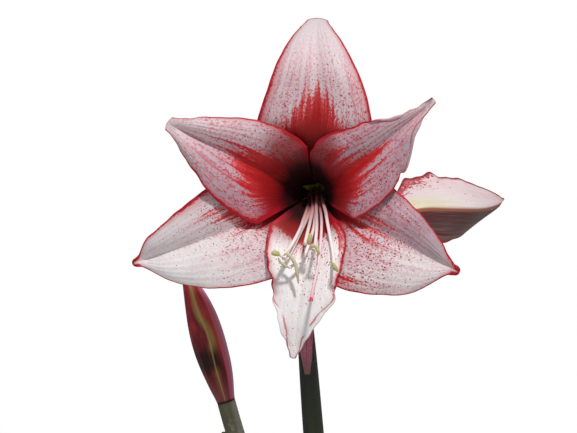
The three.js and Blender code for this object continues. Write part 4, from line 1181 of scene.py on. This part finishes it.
def tunic_finish():
    finish = Finish("bulb_tunic")
    layers, height, front, beside = finish.marks("layers", "height", "front", "beside")
    place = finish.place()
    turned_place = finish.vector(front * 26, beside * 26, height * 0.012)
    fibres = finish.noise(turned_place, 1.0, 4.0)
    paper = finish.noise(place, 120.0, 4.0)
    colour = finish.layered(
        rgb(196, 172, 118),
        (layers.grows(0.2, 1.0), rgb(168, 122, 74)),
        (layers.grows(1.2, 2.2), rgb(150, 98, 56)),
        (layers.grows(2.4, 3.4), rgb(122, 74, 42)),
        (fibres.grows(0.4, 0.65) * 0.6, rgb(98, 58, 34)),
        (paper.grows(0.5, 0.75) * 0.35, rgb(206, 168, 122)),
        (height.grows(176, 192) * 0.5, rgb(182, 184, 122)),
        (height.grows(128, 120) * 0.7, rgb(70, 46, 32)),
    )
    return finish.done(colour, 0.5 + 0.2 * paper, fibres * 1.2 + paper * 0.4, 0.4)


def make_bulb():
    def radius(r, z, turn):
        ribs = r * 0.014 * smooth(z, 124, 145) * np.sin(9 * turn + z * 0.05)
        outside = smooth(z, 122, 126) * smooth(r, 25.4, 26.2)
        layers = (0.32 * tunic_layers(z, turn) - 0.6) * outside
        fine = 0.16 * np.sin(60 * turn + 3 * np.sin(z * 0.05)) * outside
        return r + ribs + layers + fine
    form = turned(closer(BULB_OUTLINE, 1.1), 260, radius, lambda r, z, turn: z, lambda r, z, turn: {
        "layers": tunic_layers(z, turn), "height": z, "front": np.cos(turn), "beside": np.sin(turn)})
    add_piece("bulb_body", form, tunic_finish(), "bulb_tunic", "bulb")


def soil_finish():
    finish = Finish("potting_soil")
    place = finish.place()
    [grit] = finish.marks("grit")
    coarse = finish.noise(place, 260.0, 5.0)
    fine = finish.noise(place, 1300.0, 4.0)
    colour = finish.layered(
        rgb(58, 42, 32),
        (coarse.grows(0.4, 0.65) * 0.7, rgb(36, 26, 20)),
        (fine.grows(0.52, 0.75) * 0.5, rgb(96, 72, 54)),
        (grit.grows(0.25, 0.5) * (0.6 + 0.4 * coarse), rgb(104, 70, 46)),
        (grit.grows(0.75, 0.95), rgb(214, 206, 192)),
    )
    return finish.done(colour, 0.88, coarse + fine * 0.6, 0.8)


def crumb_ball():
    """Points and faces of a small round lump, from an icosahedron divided once."""
    golden = (1 + 5**0.5) / 2
    points = [(-1, golden, 0), (1, golden, 0), (-1, -golden, 0), (1, -golden, 0), (0, -1, golden),
              (0, 1, golden), (0, -1, -golden), (0, 1, -golden), (golden, 0, -1), (golden, 0, 1),
              (-golden, 0, -1), (-golden, 0, 1)]
    faces = [(0, 11, 5), (0, 5, 1), (0, 1, 7), (0, 7, 10), (0, 10, 11), (1, 5, 9), (5, 11, 4), (11, 10, 2),
             (10, 7, 6), (7, 1, 8), (3, 9, 4), (3, 4, 2), (3, 2, 6), (3, 6, 8), (3, 8, 9), (4, 9, 5),
             (2, 4, 11), (6, 2, 10), (8, 6, 7), (9, 8, 1)]
    points = [unit(p) for p in points]
    middles = {}
    def middle(a, b):
        key = (min(a, b), max(a, b))
        if key not in middles:
            middles[key] = len(points)
            points.append(unit(points[a] + points[b]))
        return middles[key]
    finer = []
    for a, b, c in faces:
        ab, bc, ca = middle(a, b), middle(b, c), middle(c, a)
        finer += [[a, ab, ca], [b, bc, ab], [c, ca, bc], [ab, bc, ca]]
    return np.array(points), finer


def make_soil():
    wall = pot_inner_radius(SOIL_LEVEL) - GAP - 0.1
    socket = [(50.5 + GAP + 0.25, SOIL_LEVEL + 0.2)]
    lower = BULB_OUTLINE[:7]
    for i in range(5, 0, -1):
        out = np.array([lower[i + 1][1] - lower[i - 1][1], lower[i - 1][0] - lower[i + 1][0]])
        socket.append(tuple(np.array(lower[i]) + unit(out) * (GAP + 0.15)))
    socket.append((0, BULB_BOTTOM - GAP - 0.1))
    below = [(0, POT_FLOOR + GAP), (45.6, POT_FLOOR + GAP), (49.6, POT_FLOOR + 4.2), (wall, SOIL_LEVEL - 0.5)]
    top = closer([(wall, SOIL_LEVEL - 0.5), (66.5, SOIL_LEVEL + 1), (61, SOIL_LEVEL + 0.6),
                  (55.5, SOIL_LEVEL + 1.8), socket[0]], 0.8)
    def height(r, z, turn):
        spot = np.stack([r * np.cos(turn), r * np.sin(turn), 0 * r * turn], axis=-1)
        free = smooth(r, 51.5, 55) * smooth(wall - r, 0.2, 1.5) * (z > SOIL_LEVEL - 3)
        clods = 1.1 * np.sin(7 * turn + r) + 0.8 * np.sin(13 * turn - 2.1 * r)
        return z + (0.5 * clods + 0.9 * rumple(spot, 9, 5, 4)) * free
    form = turned([*below, *top[1:], *socket[1:]], 260, lambda r, z, turn: r + 0 * turn, height,
                  lambda r, z, turn: {"grit": 0 * z})
    forms = [form]
    random = np.random.default_rng(11)
    ball, ball_faces = crumb_ball()
    for _ in range(420):
        turn = random.uniform(0, 2 * np.pi)
        distance = math.sqrt(random.uniform(54.0**2, (wall - 2.2) ** 2))
        size = 0.6 + 1.5 * random.uniform(0, 1) ** 2.2
        stretch = random.uniform(0.6, 1.5, 3) * size
        kind = random.uniform(0, 1)
        lump = ball * (1 + 0.22 * rumple(ball, 1.4, int(random.integers(1e6)), 2)[:, None]) * stretch
        spot = np.array([distance * math.cos(turn), distance * math.sin(turn), SOIL_LEVEL + 1.3 + 0.2 * size])
        grit = 1.0 if kind > 0.93 else 0.6 if kind > 0.7 else 0.0
        forms.append(Form(lump + spot, ball_faces, {"grit": grit}))
    add_piece("soil_top_and_crumbs", joined(forms), soil_finish(), "potting_soil", "soil")


# Camera, light and floor.
CAMERA_PLACE = (-0.01402, -1.17407, 0.58581)
CAMERA_TILT = 4
SENSOR_WIDTH = 36
PICTURE_WIDTH = 577
FOCAL_LENGTH_IN_PIXELS = 2000
KEY = dict(place=(0.2, -0.9, 1.62), size=0.13, power=15.5, colour=(1.0, 0.985, 0.96))
FILL = dict(place=(-1.3, -1.4, 0.7), size=1.2, power=1.5, colour=(0.95, 0.97, 1.0))
ROOM_LIGHT = 0.36
FLOOR_HALF_WIDTH = 1.9
BLOOM_MIDDLE = Vector((0.0, -0.05, 0.50))


def make_camera():
    camera = bpy.data.objects.new("camera", bpy.data.cameras.new("camera"))
    camera.data.lens = SENSOR_WIDTH * FOCAL_LENGTH_IN_PIXELS / PICTURE_WIDTH
    camera.data.clip_start = 0.05
    camera.location = CAMERA_PLACE
    camera.rotation_euler = (math.radians(90 - CAMERA_TILT), 0, 0)
    scene.collection.objects.link(camera)
    scene.camera = camera


def make_light(name, place, size, power, colour):
    light = bpy.data.lights.new(name, "AREA")
    light.shape = "DISK"
    light.size = size
    light.energy = power
    light.color = colour
    lamp = bpy.data.objects.new(name, light)
    lamp.location = place
    lamp.rotation_euler = (BLOOM_MIDDLE - Vector(place)).to_track_quat("-Z", "Y").to_euler()
    scene.collection.objects.link(lamp)


def make_studio():
    make_light("key", **KEY)
    make_light("fill", **FILL)
    world = bpy.data.worlds.new("studio")
    scene.world = world
    world.use_nodes = True
    tree = world.node_tree
    tree.nodes.clear()
    path = tree.nodes.new("ShaderNodeLightPath")
    room = tree.nodes.new("ShaderNodeBackground")
    room.inputs["Color"].default_value = (0.93, 0.95, 1.0, 1)
    room.inputs["Strength"].default_value = ROOM_LIGHT
    seen = tree.nodes.new("ShaderNodeBackground")
    seen.inputs["Color"].default_value = (1, 1, 1, 1)
    seen.inputs["Strength"].default_value = 1.0
    mix = tree.nodes.new("ShaderNodeMixShader")
    out = tree.nodes.new("ShaderNodeOutputWorld")
    tree.links.new(path.outputs["Is Camera Ray"], mix.inputs[0])
    tree.links.new(room.outputs[0], mix.inputs[1])
    tree.links.new(seen.outputs[0], mix.inputs[2])
    tree.links.new(mix.outputs[0], out.inputs["Surface"])
    mesh = bpy.data.meshes.new("floor")
    wide = FLOOR_HALF_WIDTH
    corners = [(-wide, -wide, 0), (wide, -wide, 0), (wide, wide, 0), (-wide, wide, 0)]
    mesh.from_pydata(corners, [], [(0, 1, 2, 3)])
    finish = Finish("floor")
    haze = finish.noise_in_place(3.0)
    finish.done(finish.blend(haze, rgb(232, 231, 228), rgb(238, 237, 235)), 0.8)
    mesh.materials.append(finish.material)
    floor = bpy.data.objects.new("floor", mesh)
    scene.collection.objects.link(floor)
    scene.view_settings.view_transform = "Standard"


make_camera()
make_studio()
make_tepals(petal_finish())
make_stamens(filament_finish(), anther_finish())
make_pistil(pistil_finish())
make_scapes()
make_closed_spathe()
make_bracts()
stalk_green = flower_stalk_finish()
make_bloom_stalk(stalk_green)
make_opening_bud(stalk_green)
make_leaves()
make_pot()
make_bulb()
make_soil()
